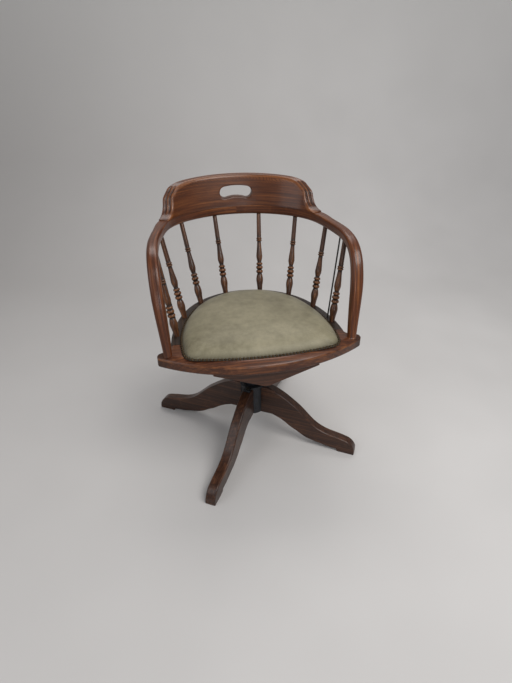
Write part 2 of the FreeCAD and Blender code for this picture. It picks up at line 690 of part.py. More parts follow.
def seat_rails():
    ring = seat_solid()
    ring = ring.cut(opening_solid(RAIL_WIDTH, FRONT_RAIL_WIDTH, SEAT_BOTTOM - 1, SEAT_HEIGHT + 1))
    rebate = opening_solid(RAIL_WIDTH - BOARD_LEDGE, FRONT_RAIL_WIDTH - BOARD_LEDGE,
                           SEAT_HEIGHT - BOARD_THICKNESS, SEAT_HEIGHT + 1)
    holes = [rebate]
    for foot, head in spindle_ends():
        hole = spindle_holes(foot, head, GLUE_CLEARANCE)[0]
        holes += [hole, mirrored_x(hole)]
    start, end, under, along = stay_line()
    for tool in (rod(start, end, STAY_RADIUS + GLUE_CLEARANCE), stay_spot_face(), post_tenon(GLUE_CLEARANCE)):
        holes += [tool, mirrored_x(tool)]
    for a, b in dowel_lines():
        middle = (a + b) / 2
        reach = (b - a) / 2 * (1 + 2 / DOWEL_LENGTH)
        holes.append(rod(middle - reach, middle + reach, DOWEL_RADIUS + GLUE_CLEARANCE))
    for screw in bearer_screws(GLUE_CLEARANCE):
        holes.append(screw)
    ring = cut_all(ring, holes)
    front, back = joint_regions()
    sides = ring.cut(front).cut(back)
    left, right = sorted(sides.Solids, key=lambda s: s.CenterOfMass.x)[-1], sorted(
        sides.Solids, key=lambda s: s.CenterOfMass.x)[0]
    return {"seat_front_rail": ring.common(front), "seat_back_rail": ring.common(back),
            "seat_left_rail": left, "seat_right_rail": right}


def seat_board():
    fit = GLUE_CLEARANCE
    return opening_solid(RAIL_WIDTH - BOARD_LEDGE + fit, FRONT_RAIL_WIDTH - BOARD_LEDGE + fit,
                         SEAT_HEIGHT - BOARD_THICKNESS, SEAT_HEIGHT)


# Pad
def pad_outline(inset):
    # The pad's edge, even with the seat's edge at the back and sides and flatter at the front.
    side_radius = SEAT_SIDE_RADIUS - PAD_INSET - inset
    front_centre = V(0, PAD_FRONT_RADIUS - SEAT_FRONT_DEPTH + PAD_FRONT_INSET, 0)
    front_radius = PAD_FRONT_RADIUS - inset
    corner_radius = PAD_CORNER_RADIUS - inset
    corner = circles_meet(SEAT_SIDE_CENTRE, side_radius - corner_radius, front_centre,
                          front_radius - corner_radius, False)
    side_end = angle_of(corner - SEAT_SIDE_CENTRE)
    front_end = angle_of(corner - front_centre)
    joint = angle_of(SEAT_BACK_CENTRE - SEAT_SIDE_CENTRE)
    side = plan_arc(SEAT_SIDE_CENTRE, side_radius, side_end, joint)
    turn = plan_arc(corner, corner_radius, front_end, side_end)
    back = plan_arc(SEAT_BACK_CENTRE, SEAT_BACK_RADIUS - PAD_INSET - inset, joint, math.pi - joint)
    front = plan_arc(front_centre, front_radius, -math.pi - front_end, front_end)
    return Part.Wire([front, turn, side, back, reversed_edge(mirrored_x(side)), reversed_edge(mirrored_x(turn))])


def reversed_edge(edge):
    edge = edge.copy()
    edge.reverse()
    return edge


def scaled_outline(wire, share, height):
    # A copy of an outline drawn in toward the pad's middle and lifted to a height.
    middle = V(0, SEAT_BACK_CENTRE.y, 0)
    matrix = FreeCAD.Matrix()
    matrix.move(middle * -1)
    matrix.scale(share, share, 1)
    matrix.move(middle + UP * height)
    return wire.transformGeometry(matrix)


def pad_solid():
    # A thin nailed edge and a stuffed crown that rises steeply and flattens toward the middle.
    edge = Part.Face(pad_outline(0)).extrude(UP * PAD_EDGE_THICKNESS)
    edge.translate(UP * SEAT_HEIGHT)
    base = pad_outline(PAD_EDGE_WIDTH)
    rise = PAD_CROWN - PAD_EDGE_THICKNESS
    turns = [math.radians(t) for t in (0, 8, 18, 29, 40, 51, 62, 72, 80, 86)]
    levels = [(math.cos(t) ** (2 / 3), math.sin(t)) for t in turns]
    start = SEAT_HEIGHT + PAD_EDGE_THICKNESS
    wires = [scaled_outline(base, share, start + lift * rise) for share, lift in levels]
    crown = Part.makeLoft(wires, True, False)
    return edge.fuse(crown)


def pad_nails():
    # Domed nails at an even pitch all round the pad's edge.
    line = pad_outline(PAD_EDGE_WIDTH / 2)
    count = int(line.Length / NAIL_PITCH)
    top = SEAT_HEIGHT + PAD_EDGE_THICKNESS
    ball = (NAIL_HEAD_RADIUS ** 2 + NAIL_HEAD_HEIGHT ** 2) / (2 * NAIL_HEAD_HEIGHT)
    latitude = math.degrees(math.acos(NAIL_HEAD_RADIUS / ball))
    head = Part.makeSphere(ball, V(0, 0, NAIL_HEAD_HEIGHT - ball), UP, latitude, 90, 360)
    shank = Part.makeCylinder(NAIL_SHANK_RADIUS, NAIL_SHANK_LENGTH + 0.2, V(0, 0, -NAIL_SHANK_LENGTH), UP)
    nail = head.fuse(shank)
    nails = []
    for point in line.discretize(Number=count + 1)[:-1]:
        copy = nail.copy()
        copy.translate(point + UP * top)
        nails.append(copy)
    return Part.makeCompound(nails)


# Bearers and spider
def bearer(face_y):
    # A board on edge, deepest in the middle and tapering to thin ends.
    length, tip = BEARER_HALF_LENGTH, BEARER_TIP
    end = SEAT_BOTTOM - BEARER_END_DEPTH
    points = [V(-length, 0, SEAT_BOTTOM), V(length, 0, SEAT_BOTTOM), V(length, 0, end),
              V(tip, 0, BEARER_BOTTOM), V(-tip, 0, BEARER_BOTTOM), V(-length, 0, end)]
    step = BEARER_THICKNESS if face_y < 0 else -BEARER_THICKNESS
    board = prism(points, V(0, step, 0))
    board.translate(V(0, face_y, 0))
    holes = []
    for screw in bearer_screws(GLUE_CLEARANCE) + spider_bolts(GLUE_CLEARANCE):
        holes.append(screw)
    return cut_all(board, holes)


def bearer_underside(x):
    slope = (BEARER_DEPTH - BEARER_END_DEPTH) / (BEARER_HALF_LENGTH - BEARER_TIP)
    return BEARER_BOTTOM + slope * (abs(x) - BEARER_TIP)


def bearer_screws(extra):
    # Round-headed screws up through the bearers into the seat rails.
    screws = []
    front_y = FRONT_BEARER_FACE + BEARER_THICKNESS / 2
    rear_y = REAR_BEARER_FACE - BEARER_THICKNESS / 2
    for y, places in ((front_y, BEARER_SCREW_X), (rear_y, BEARER_SCREW_X[1:])):
        for x in places + tuple(-p for p in places):
            low = bearer_underside(x) + 4
            top = SEAT_BOTTOM + 22
            head = Part.makeCylinder(4.5 + extra, 3, V(x, y, low), UP)
            shank = Part.makeCylinder(2.2 + extra, top - low + extra, V(x, y, low), UP)
            screw = head.fuse(shank)
            if extra > 0:
                screw = screw.fuse(Part.makeCylinder(4.5 + extra, 14, V(x, y, low - 14), UP))
            screws.append(screw)
    return screws


def spider_foot_places():
    # Inner faces of the two bearers, where the spider's feet are bolted.
    front = FRONT_BEARER_FACE + BEARER_THICKNESS
    rear = REAR_BEARER_FACE - BEARER_THICKNESS
    return [(SPIDER_FOOT_X, front, 1), (-SPIDER_FOOT_X, front, 1),
            (SPIDER_FOOT_X, rear, -1), (-SPIDER_FOOT_X, rear, -1)]


def spider_solid():
    low = BEARER_BOTTOM
    boss = Part.makeCylinder(SPIDER_BOSS_RADIUS, SPIDER_TOP - WASHER_TOP, V(0, 0, WASHER_TOP), UP)
    cone = Part.makeCone(SPIDER_BOSS_RADIUS, SPIDER_BOSS_TOP_RADIUS, 26, V(0, 0, low - 26), UP)
    cap = Part.makeCylinder(SPIDER_BOSS_TOP_RADIUS, SPIDER_THICKNESS, V(0, 0, low), UP)
    pieces = [cone, cap]
    for x, y, inward in spider_foot_places():
        reach = V(x, y, 0)
        along = V(reach.x, reach.y, 0).normalize()
        across = V(-along.y, along.x, 0) * (SPIDER_ARM_WIDTH / 2)
        arm = prism([across + UP * low, across * -1 + UP * low, reach - across + UP * low,
                     reach + across + UP * low], UP * SPIDER_THICKNESS)
        rib_half = V(-along.y, along.x, 0) * (SPIDER_RIB_WIDTH / 2)
        rib = prism([UP * (low - 24) - rib_half, UP * low - rib_half,
                     reach * 0.82 + UP * low - rib_half], rib_half * 2)
        foot = Part.makeBox(SPIDER_FOOT_WIDTH, SPIDER_THICKNESS, SPIDER_FOOT_HEIGHT,
                            V(x - SPIDER_FOOT_WIDTH / 2, min(y, y + inward * SPIDER_THICKNESS), low))
        pieces += [arm, rib, foot]
    solid = boss.fuse(pieces)
    front = FRONT_BEARER_FACE + BEARER_THICKNESS
    rear = REAR_BEARER_FACE - BEARER_THICKNESS
    room = Part.makeBox(400, rear - front, 400, V(-200, front, 0))
    bore = Part.makeCylinder(PIVOT_RADIUS + RUNNING_CLEARANCE, SEAT_HEIGHT, V(0, 0, WASHER_TOP - 1), UP)
    return cut_all(solid.common(room).cut(bore), spider_bolts(GLUE_CLEARANCE))


def spider_bolts(extra):
    # Square-headed coach screws from the spider's feet into the bearers.
    bolts = []
    for x, y, inward in spider_foot_places():
        z = BEARER_BOTTOM + SPIDER_FOOT_HEIGHT * 0.68
        start = V(x, y + inward * SPIDER_THICKNESS, z)
        shank = rod(start, V(x, y - inward * (BEARER_THICKNESS - 8 + extra), z), 3.0 + extra)
        if extra > 0:
            bolts.append(shank)
            continue
        head = Part.makeBox(11, 5, 11, V(x - 5.5, min(start.y, start.y + inward * 5), z - 5.5))
        bolts.append(shank.fuse(head))
    return bolts


# Base
def leg_solid(angle):
    # A sabre leg: level at the hub, sweeping out and down to a low square toe.
    reach = LEG_REACH
    top_line = [(58, HUB_TOP), (87, 195.5), (112.5, 182.5), (140, 164), (168.5, 142.5), (200, 112),
                (229, 86), (252, 73), (280, 64), (311, 58.5), (336, 53)]
    under_line = [(312, 7.5), (281, 9.5), (256, 14), (220, 21), (190, 32), (173, 43), (146, 58),
                  (123, 74), (100, 87), (78, 95), (LEG_ROOT, HUB_BOTTOM)]
    share = reach / 373.0

    def at(r, z):
        return V(HUB_FLAT + (r - HUB_FLAT) * share, 0, z)

    top = smooth([at(r, z) for r, z in top_line], V(1, 0, -0.08), V(1, 0, -0.22))
    under = smooth([at(r, z) for r, z in under_line], V(-1, 0, 0.05), V(-1, 0, 0.12))
    nose = Part.Arc(at(336, 53), at(359, 41), at(371.5, 22)).toShape()
    edges = [Part.makeLine(at(HUB_FLAT, HUB_TOP), at(58, HUB_TOP)), top, nose,
             Part.makeLine(at(371.5, 22), at(373, 1.5)), Part.makeLine(at(373, 1.5), at(371.5, 0)),
             Part.makeLine(at(371.5, 0), at(316, 0)), Part.makeLine(at(316, 0), at(312, 7.5)), under,
             Part.makeLine(at(LEG_ROOT, HUB_BOTTOM), at(HUB_FLAT, HUB_BOTTOM)),
             Part.makeLine(at(HUB_FLAT, HUB_BOTTOM), at(HUB_FLAT, HUB_TOP))]
    face = Part.Face(Part.Wire(edges))
    face.translate(V(0, -LEG_THICKNESS / 2, 0))
    leg = face.extrude(V(0, LEG_THICKNESS, 0))
    long_edges = [e for e in leg.Edges if e.BoundBox.YLength < 0.01 and e.BoundBox.XMin > at(57, 0).x
                  and e.BoundBox.ZMax > 30]
    leg = leg.makeFillet(LEG_ROUNDING, long_edges)
    leg = cut_all(leg, leg_screws_local(GLUE_CLEARANCE))
    leg.rotate(V(0, 0, 0), UP, angle)
    return leg


def leg_screws_local(extra):
    # Two coach screws into one leg's inner end: one down through the hub, one up through the plate.
    r = LEG_SCREW_RADIUS + extra
    upper = Part.makeCylinder(r, LEG_SCREW_LENGTH + extra, V(LEG_SCREW_REACH, 0, FLANGE_TOP), V(0, 0, -1))
    plate = HUB_BOTTOM - BOTTOM_PLATE_THICKNESS
    lower = Part.makeCylinder(r, LEG_SCREW_LENGTH + extra, V(LEG_SCREW_REACH, 0, plate), UP)
    if extra > 0:
        return [upper, lower]
    upper_head = hexagon(6.5, 4)
    upper_head.translate(V(LEG_SCREW_REACH, 0, FLANGE_TOP))
    lower_head = hexagon(6.5, 4)
    lower_head.translate(V(LEG_SCREW_REACH, 0, plate - 4))
    return [upper.fuse(upper_head), lower.fuse(lower_head)]


def turned(shapes, angle):
    copies = []
    for shape in shapes:
        copy = shape.copy()
        copy.rotate(V(0, 0, 0), UP, angle)
        copies.append(copy)
    return copies


LEG_NAMES = ("leg_front", "leg_left", "leg_back", "leg_right")
LEG_ANGLES = [LEG_ANGLE + 90 * i for i in range(4)]


def hub_solid():
    barrel = Part.makeCylinder(HUB_RADIUS, HUB_TOP - HUB_BOTTOM, V(0, 0, HUB_BOTTOM), UP)
    skirt = Part.makeCone(HUB_RADIUS, HUB_RADIUS - 3, 14, V(0, 0, HUB_BOTTOM), UP)
    flange = Part.makeCylinder(HUB_FLANGE_RADIUS, HUB_FLANGE_THICKNESS, V(0, 0, HUB_TOP), UP)
    hub = barrel.fuse([skirt, flange])
    tongue = Part.makeBox(HUB_TONGUE_REACH, HUB_TONGUE_WIDTH, HUB_FLANGE_THICKNESS,
                          V(0, -HUB_TONGUE_WIDTH / 2, HUB_TOP))
    flat = Part.makeBox(20, 2 * HUB_RADIUS, HUB_TOP - HUB_BOTTOM, V(HUB_FLAT, -HUB_RADIUS, HUB_BOTTOM))
    for angle in LEG_ANGLES:
        hub = hub.fuse(turned([tongue], angle)[0])
    for angle in LEG_ANGLES:
        hub = hub.cut(turned([flat], angle)[0])
        hub = cut_all(hub, turned(leg_screws_local(GLUE_CLEARANCE), angle))
    bore = Part.makeCylinder(SCREW_RADIUS + RUNNING_CLEARANCE, 300, V(0, 0, HUB_BOTTOM - 1), UP)
    return hub.cut(bore).cut(key_solid(GLUE_CLEARANCE)).removeSplitter()


def bottom_plate():
    # A disc under the hub with one short arm under each leg.
    low = HUB_BOTTOM - BOTTOM_PLATE_THICKNESS
    plate = Part.makeCylinder(BOTTOM_PLATE_RADIUS, BOTTOM_PLATE_THICKNESS, V(0, 0, low), UP)
    arm = Part.makeBox(HUB_TONGUE_REACH, HUB_TONGUE_WIDTH, BOTTOM_PLATE_THICKNESS,
                       V(0, -HUB_TONGUE_WIDTH / 2, low))
    for angle in LEG_ANGLES:
        plate = plate.fuse(turned([arm], angle)[0])
    plate = plate.removeSplitter()
    for angle in LEG_ANGLES:
        plate = cut_all(plate, turned(leg_screws_local(GLUE_CLEARANCE), angle))
    return plate


def key_solid(extra):
    # A square key let into the hub's bore that stops the screw from turning.
    inner = SCREW_RADIUS - KEY_DEPTH + KEY_CLEARANCE
    key = Part.makeBox(HUB_FLAT - 14 - inner + extra, KEY_WIDTH + 2 * extra, KEY_LENGTH + extra,
                       V(inner, -KEY_WIDTH / 2 - extra, HUB_TOP - KEY_LENGTH - extra))
    key.rotate(V(0, 0, 0), UP, LEG_ANGLE + 45)
    return key


def screw_solid():
    main = Part.makeCylinder(SCREW_RADIUS, COLLAR_TOP - SCREW_BOTTOM, V(0, 0, SCREW_BOTTOM), UP)
    collar = Part.makeCylinder(COLLAR_RADIUS, COLLAR_HEIGHT, V(0, 0, NUT_TOP), UP)
    pivot = Part.makeCylinder(PIVOT_RADIUS, SPIDER_TOP + PIVOT_END - COLLAR_TOP, V(0, 0, COLLAR_TOP), UP)
    slot_width = KEY_WIDTH + 2 * KEY_CLEARANCE
    slot = Part.makeBox(KEY_DEPTH + 2, slot_width, FLANGE_TOP - SCREW_BOTTOM,
                        V(SCREW_RADIUS - KEY_DEPTH, -slot_width / 2, SCREW_BOTTOM - 1))
    slot.rotate(V(0, 0, 0), UP, LEG_ANGLE + 45)
    return main.fuse([collar, pivot]).cut(slot)


def nut_solid():
    nut = Part.makeCylinder(NUT_RADIUS, NUT_HEIGHT, V(0, 0, FLANGE_TOP), UP)
    nut = nut.makeChamfer(2.5, edges_at(nut, FLANGE_TOP) + edges_at(nut, NUT_TOP))
    bore = Part.makeCylinder(SCREW_RADIUS + RUNNING_CLEARANCE, NUT_HEIGHT + 2, V(0, 0, FLANGE_TOP - 1), UP)
    nut = nut.cut(bore)
    middle = V(0, 0, FLANGE_TOP + NUT_HEIGHT / 2)
    for i in range(6):
        out = V(math.cos(math.radians(60 * i)), math.sin(math.radians(60 * i)), 0)
        nut = nut.cut(rod(middle + out * (SCREW_RADIUS + 5), middle + out * (NUT_RADIUS + 5), NUT_BAR_RADIUS))
    return nut


def ring_solid(outer, inner, low, height):
    ring = Part.makeCylinder(outer, height, V(0, 0, low), UP)
    return ring.cut(Part.makeCylinder(inner, height + 2, V(0, 0, low - 1), UP))


def main():
    os.makedirs("parts", exist_ok=True)
    for name, angle in zip(LEG_NAMES, LEG_ANGLES):
        save(leg_solid(angle), name)
    save(hub_solid(), "hub_casting")
    save(bottom_plate(), "hub_bottom_plate")
    screws = []
    for angle in LEG_ANGLES:
        screws += turned(leg_screws_local(0), angle)
    save(Part.makeCompound(screws), "leg_coach_screws")
    save(key_solid(0), "lift_key")
    save(nut_solid(), "capstan_nut")
    save(screw_solid(), "lift_screw")
    save(ring_solid(COLLAR_RADIUS, PIVOT_RADIUS + GLUE_CLEARANCE, COLLAR_TOP, WASHER_HEIGHT), "thrust_washer")
    save(ring_solid(RETAINER_RADIUS, PIVOT_RADIUS + GLUE_CLEARANCE, SPIDER_TOP, RETAINER_HEIGHT),
         "pivot_retainer")
    save(spider_solid(), "seat_spider")
    save(Part.makeCompound(spider_bolts(0)), "spider_bolts")
    save(bearer(FRONT_BEARER_FACE), "front_bearer")
    save(bearer(REAR_BEARER_FACE), "rear_bearer")
    save(Part.makeCompound(bearer_screws(0)), "bearer_screws")
    for name, rail in seat_rails().items():
        save(rail, name)
    save(Part.makeCompound([rod(a, b, DOWEL_RADIUS) for a, b in dowel_lines()]), "frame_dowels")
    save(seat_board(), "seat_board")
    save(pad_solid(), "seat_pad")
    save(pad_nails(), "pad_nails")
    bow_tools = [crest_screw_hole(p) for p in crest_screw_places()]
    start, end, under, along = stay_line()
    stay_hole = rod(start, end + along * GLUE_CLEARANCE, STAY_RADIUS + GLUE_CLEARANCE)
    bow_tools += [stay_hole, mirrored_x(stay_hole)]
    for number, (foot, head) in enumerate(spindle_ends(), 1):
        hole = spindle_holes(foot, head, GLUE_CLEARANCE)[1]
        bow_tools += [hole, mirrored_x(hole)]
        spindle = seated_spindle(foot, head)
        save(spindle, "spindle_left_" + str(number))
        save(mirrored_x(spindle), "spindle_right_" + str(number))
    save(cut_all(bow_solid(), bow_tools), "arm_bow")
    save(cut_all(crest_solid(), [crest_screw(p, GLUE_CLEARANCE) for p in crest_screw_places()]), "crest_rail")
    save(Part.makeCompound([crest_screw(p, 0) for p in crest_screw_places()]), "crest_screws")
    save(stay_rod(), "stay_rod_left")
    save(mirrored_x(stay_rod()), "stay_rod_right")
    save(Part.makeCompound([stay_nut(), mirrored_x(stay_nut())]), "stay_nuts")


main()
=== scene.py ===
import bmesh
import bpy
import math
import random
import numpy as np
from mathutils import Matrix, Vector, noise


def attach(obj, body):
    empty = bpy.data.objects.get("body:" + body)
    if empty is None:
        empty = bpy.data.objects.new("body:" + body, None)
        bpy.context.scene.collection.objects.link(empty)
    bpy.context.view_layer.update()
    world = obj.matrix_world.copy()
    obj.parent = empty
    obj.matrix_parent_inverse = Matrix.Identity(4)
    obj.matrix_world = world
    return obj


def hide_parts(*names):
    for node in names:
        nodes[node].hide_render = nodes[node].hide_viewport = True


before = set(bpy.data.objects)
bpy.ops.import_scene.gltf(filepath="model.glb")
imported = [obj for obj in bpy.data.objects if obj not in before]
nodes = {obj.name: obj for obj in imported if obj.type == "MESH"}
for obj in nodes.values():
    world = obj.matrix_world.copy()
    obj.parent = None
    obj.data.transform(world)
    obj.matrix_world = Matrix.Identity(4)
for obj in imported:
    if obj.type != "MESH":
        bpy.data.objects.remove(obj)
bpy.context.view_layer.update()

MM = 0.001


# General helpers

def srgb(r, g, b):
    """A colour written as it looks on a screen, 0 to 255, as the linear numbers shaders take."""
    return tuple(c / 12.92 if c <= 0.04045 else ((c + 0.055) / 1.055) ** 2.4
                 for c in (r / 255, g / 255, b / 255)) + (1.0,)


def new_piece(name, verts, faces, body=None, replaces=()):
    mesh = bpy.data.meshes.new(name)
    mesh.from_pydata([tuple(v) for v in verts], [], [tuple(f) for f in faces])
    mesh.update()
    obj = bpy.data.objects.new(name, mesh)
    bpy.context.scene.collection.objects.link(obj)
    mesh.polygons.foreach_set("use_smooth", [True] * len(mesh.polygons))
    if body:
        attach(obj, body)
    if replaces:
        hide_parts(*replaces)
    return obj


def store(obj, name, values):
    """Keeps one vector per vertex on the mesh, for the materials to read."""
    made = obj.data.attributes.new(name, "FLOAT_VECTOR", "POINT")
    made.data.foreach_set("vector", np.asarray(values, np.float32).ravel())


def points_of(obj):
    co = np.zeros(len(obj.data.vertices) * 3)
    obj.data.vertices.foreach_get("co", co)
    return co.reshape(-1, 3)


def put_points(obj, co):
    obj.data.vertices.foreach_set("co", np.asarray(co, np.float32).ravel())
    obj.data.update()


def ring_faces(rings, count):
    """Quads between closed rings of count points each."""
    faces = []
    for i in range(rings - 1):
        for j in range(count):
            k = (j + 1) % count
            faces.append((i * count + j, i * count + k, (i + 1) * count + k, (i + 1) * count + j))
    return faces


def end_caps(rings, count):
    """Flat faces that close the first and the last ring."""
    return [tuple(range(count)), tuple(range((rings - 1) * count, rings * count))[::-1]]


def unit(v):
    v = np.asarray(v, float)
    return v / np.linalg.norm(v)


# Sizes of the seat in plan, in millimetres, as in the CAD model

SEAT_TOP = 460.0
ARRIS_Z = 447.0
PAD_INSET = 27.0
BACK_ARC_R, SIDE_ARC_R = 238.3, 453.0
SEAT_BACK_Y = 214.5 - BACK_ARC_R
SEAT_SIDE_X = 262.0 - SIDE_ARC_R
SEAT_SIDE_Y = SEAT_BACK_Y - math.sqrt((SIDE_ARC_R - BACK_ARC_R) ** 2 - SEAT_SIDE_X ** 2)
FRONT_R, FRONT_C_Y = 540.0, 282.5

# Plan of the bow, in millimetres, as in the CAD model: five tangent arcs

BOW_Z, BOW_W, BOW_H = 719.0, 31.0, 31.0
BACK_C, BACK_R = np.array([0.0, 2.7]), 313.3
SIDE_C, SIDE_R = np.array([286.3 - 800.0, -65.0]), 800.0
CORNER_R = 193.0


def corner_centre():
    """Where the corner arc touches both the back arc and the side arc."""
    r1, r2 = BACK_R - CORNER_R, SIDE_R - CORNER_R
    gap = np.linalg.norm(SIDE_C - BACK_C)
    along = (r1 * r1 - r2 * r2 + gap * gap) / (2 * gap)
    side = math.sqrt(r1 * r1 - along * along)
    u = (SIDE_C - BACK_C) / gap
    options = [BACK_C + u * along + s * side * np.array([-u[1], u[0]]) for s in (1, -1)]
    return max(options, key=lambda p: p[1])


CORNER_C = corner_centre()
A_BACK = math.atan2(*(CORNER_C - BACK_C)[::-1])
A_SIDE = math.atan2(*(CORNER_C - SIDE_C)[::-1])
KNEE_Y = 26.0
A_KNEE = math.asin((KNEE_Y - SIDE_C[1]) / SIDE_R)
S_BACK = BACK_R * (math.pi / 2 - A_BACK)
S_CORNER = S_BACK + CORNER_R * (A_BACK - A_SIDE)
S_KNEE = S_CORNER + SIDE_R * (A_SIDE - A_KNEE)


def plan_at(s):
    """Centre point and outward direction of the bow at length s from the middle of its back."""
    if s <= S_BACK:
        c, r, a = BACK_C, BACK_R, math.pi / 2 - s / BACK_R
    elif s <= S_CORNER:
        c, r, a = CORNER_C, CORNER_R, A_BACK - (s - S_BACK) / CORNER_R
    else:
        c, r, a = SIDE_C, SIDE_R, A_SIDE - (s - S_CORNER) / SIDE_R
    out = np.array([math.cos(a), math.sin(a)])
    return c + r * out, out


def bow_coordinates(x, y):
    """Length along the bow and distance outside its centre line, for points in plan with x > 0."""
    ang_back = np.arctan2(y - BACK_C[1], x - BACK_C[0])
    ang_corner = np.arctan2(y - CORNER_C[1], x - CORNER_C[0])
    ang_side = np.arctan2(y - SIDE_C[1], x - SIDE_C[0])
    s = (math.pi / 2 - ang_back) * BACK_R
    off = np.hypot(x - BACK_C[0], y - BACK_C[1]) - BACK_R
    in_corner = ang_back < A_BACK
    s = np.where(in_corner, S_BACK + (A_BACK - ang_corner) * CORNER_R, s)
    off = np.where(in_corner, np.hypot(x - CORNER_C[0], y - CORNER_C[1]) - CORNER_R, off)
    in_side = in_corner & (ang_corner < A_SIDE)
    s = np.where(in_side, S_CORNER + (A_SIDE - ang_side) * SIDE_R, s)
    off = np.where(in_side, np.hypot(x - SIDE_C[0], y - SIDE_C[1]) - SIDE_R, off)
    return s, off


# Arms: one bent length from foot to foot

def rounded_ring(w, h, low, high, arc=8, flat=6):
    """Points round a rectangle w by h with rounded corners, as (across, up)."""
    pts = []
    corners = ((w / 2, h / 2, high, 0), (-w / 2, h / 2, high, 90),
               (-w / 2, -h / 2, low, 180), (w / 2, -h / 2, low, 270))
    for i, (x, y, r, a0) in enumerate(corners):
        cx, cy = x - math.copysign(r, x), y - math.copysign(r, y)
        for k in range(arc + 1):
            a = math.radians(a0 + 90 * k / arc)
            pts.append((cx + r * math.cos(a), cy + r * math.sin(a)))
        nx, ny, nr, na = corners[(i + 1) % 4]
        a = math.radians(na)
        end = (nx - math.copysign(nr, nx) + nr * math.cos(a), ny - math.copysign(nr, ny) + nr * math.sin(a))
        start = pts[-1]
        for k in range(1, flat):
            t = k / flat
            pts.append((start[0] * (1 - t) + end[0] * t, start[1] * (1 - t) + end[1] * t))
    return np.array(pts)


def knee_table():
    """Dense (length, y, z, pitch) down the bend and the post."""
    y, z, pitch, length = KNEE_Y, BOW_Z, 0.0, 0.0
    rows = [(length, y, z, pitch)]
    for radius, turn in ((300.0, 12.0), (110.0, 48.0), (260.0, 18.0)):
        steps = 24
        step = math.radians(turn) / steps
        for _ in range(steps):
            y -= radius * (math.sin(pitch + step) - math.sin(pitch))
            z -= radius * (math.cos(pitch) - math.cos(pitch + step))
            pitch += step
            length += radius * step
            rows.append((length, y, z, pitch))
    post = (z - SEAT_TOP) / math.sin(pitch)
    for k in range(1, 49):
        d = post * k / 48
        rows.append((length + d, y - d * math.cos(pitch), z - d * math.sin(pitch), pitch))
    return rows


def make_bow():
    table = knee_table()
    total = table[-1][0]
    start_x, _ = plan_at(S_KNEE)
    slope0 = math.tan(math.asin((KNEE_Y - SIDE_C[1]) / SIDE_R))

    def arm_x(length):
        t = length / total
        return (start_x[0] * (2 * t ** 3 - 3 * t ** 2 + 1) + slope0 * total * (t ** 3 - 2 * t ** 2 + t)
                + 271.5 * (3 * t ** 2 - 2 * t ** 3) - 0.05 * total * (t ** 3 - t ** 2))

    half = []
    for s in np.linspace(0, S_KNEE, 150):
        p, out = plan_at(s)
        share = min(max((s - S_CORNER) / (S_KNEE - S_CORNER) / 0.5, 0), 1)
        share = share * share * (3 - 2 * share)
        top = 2.0 + 8.0 * share
        half.append((np.array([p[0], p[1], BOW_Z]), np.array([out[0], out[1], 0.0]), np.array([0, 0, 1.0]),
                     BOW_W, BOW_H, 10.0, top, s))
    for length, y, z, pitch in table[1:]:
        ahead = min(length + 1, total)
        slope = arm_x(ahead) - arm_x(ahead - 1)
        t = length / total
        tangent = unit([slope, -math.cos(pitch), -math.sin(pitch)])
        out = unit(np.array([1.0, 0, 0]) - tangent * tangent[0])
        up = np.cross(tangent, out)
        flat = max(0.0, (t - 0.9) / 0.1)
        out = unit(out * (1 - flat) + np.array([1.0, 0, 0]) * flat)
        up = unit(up * (1 - flat) + np.array([0, -1.0, 0]) * flat)
        size = 31.0 + 3.0 * t / 0.55 if t < 0.55 else 34.0 - 10.0 * ((t - 0.55) / 0.45) ** 1.4
        depth = min(size, BOW_H)
        rounding = 10.0 * depth / BOW_H
        point = np.array([arm_x(length), y, z])
        half.append((point, out, up, size, depth, rounding, rounding, S_KNEE + length))
    verts, grain = [], []
    count = 0
    for sign, stations in ((-1, half[:0:-1]), (1, half)):
        for p, out, up, w, h, low, high, s in stations:
            ring = rounded_ring(w, h, low, high)
            count = len(ring)
            pts = p + ring[:, :1] * out + ring[:, 1:] * up
            if s > S_KNEE + total - 0.01:
                pts[:, 2] = SEAT_TOP
            pts[:, 0] *= sign
            verts.append(pts)
            grain.append(np.c_[np.full(count, sign * s), ring[:, 0] * sign, ring[:, 1]])
    # The feet go a little way into the eased edge of the seat.
    for place in (0, len(verts)):
        foot = verts[0 if place == 0 else -1].copy()
        foot[:, 2] = ARRIS_Z
        verts.insert(place, foot)
        grain.insert(place, grain[0 if place == 0 else -1].copy())
    rings = len(verts)
    verts, grain = np.vstack(verts), np.vstack(grain)
    faces = ring_faces(rings, count)
    faces += end_caps(rings, count)
    bow = new_piece("bow", verts * MM, faces, "seat", ["arm_bow"])
    store(bow, "grain", grain * MM)
    tidy_normals(bow)
    return bow


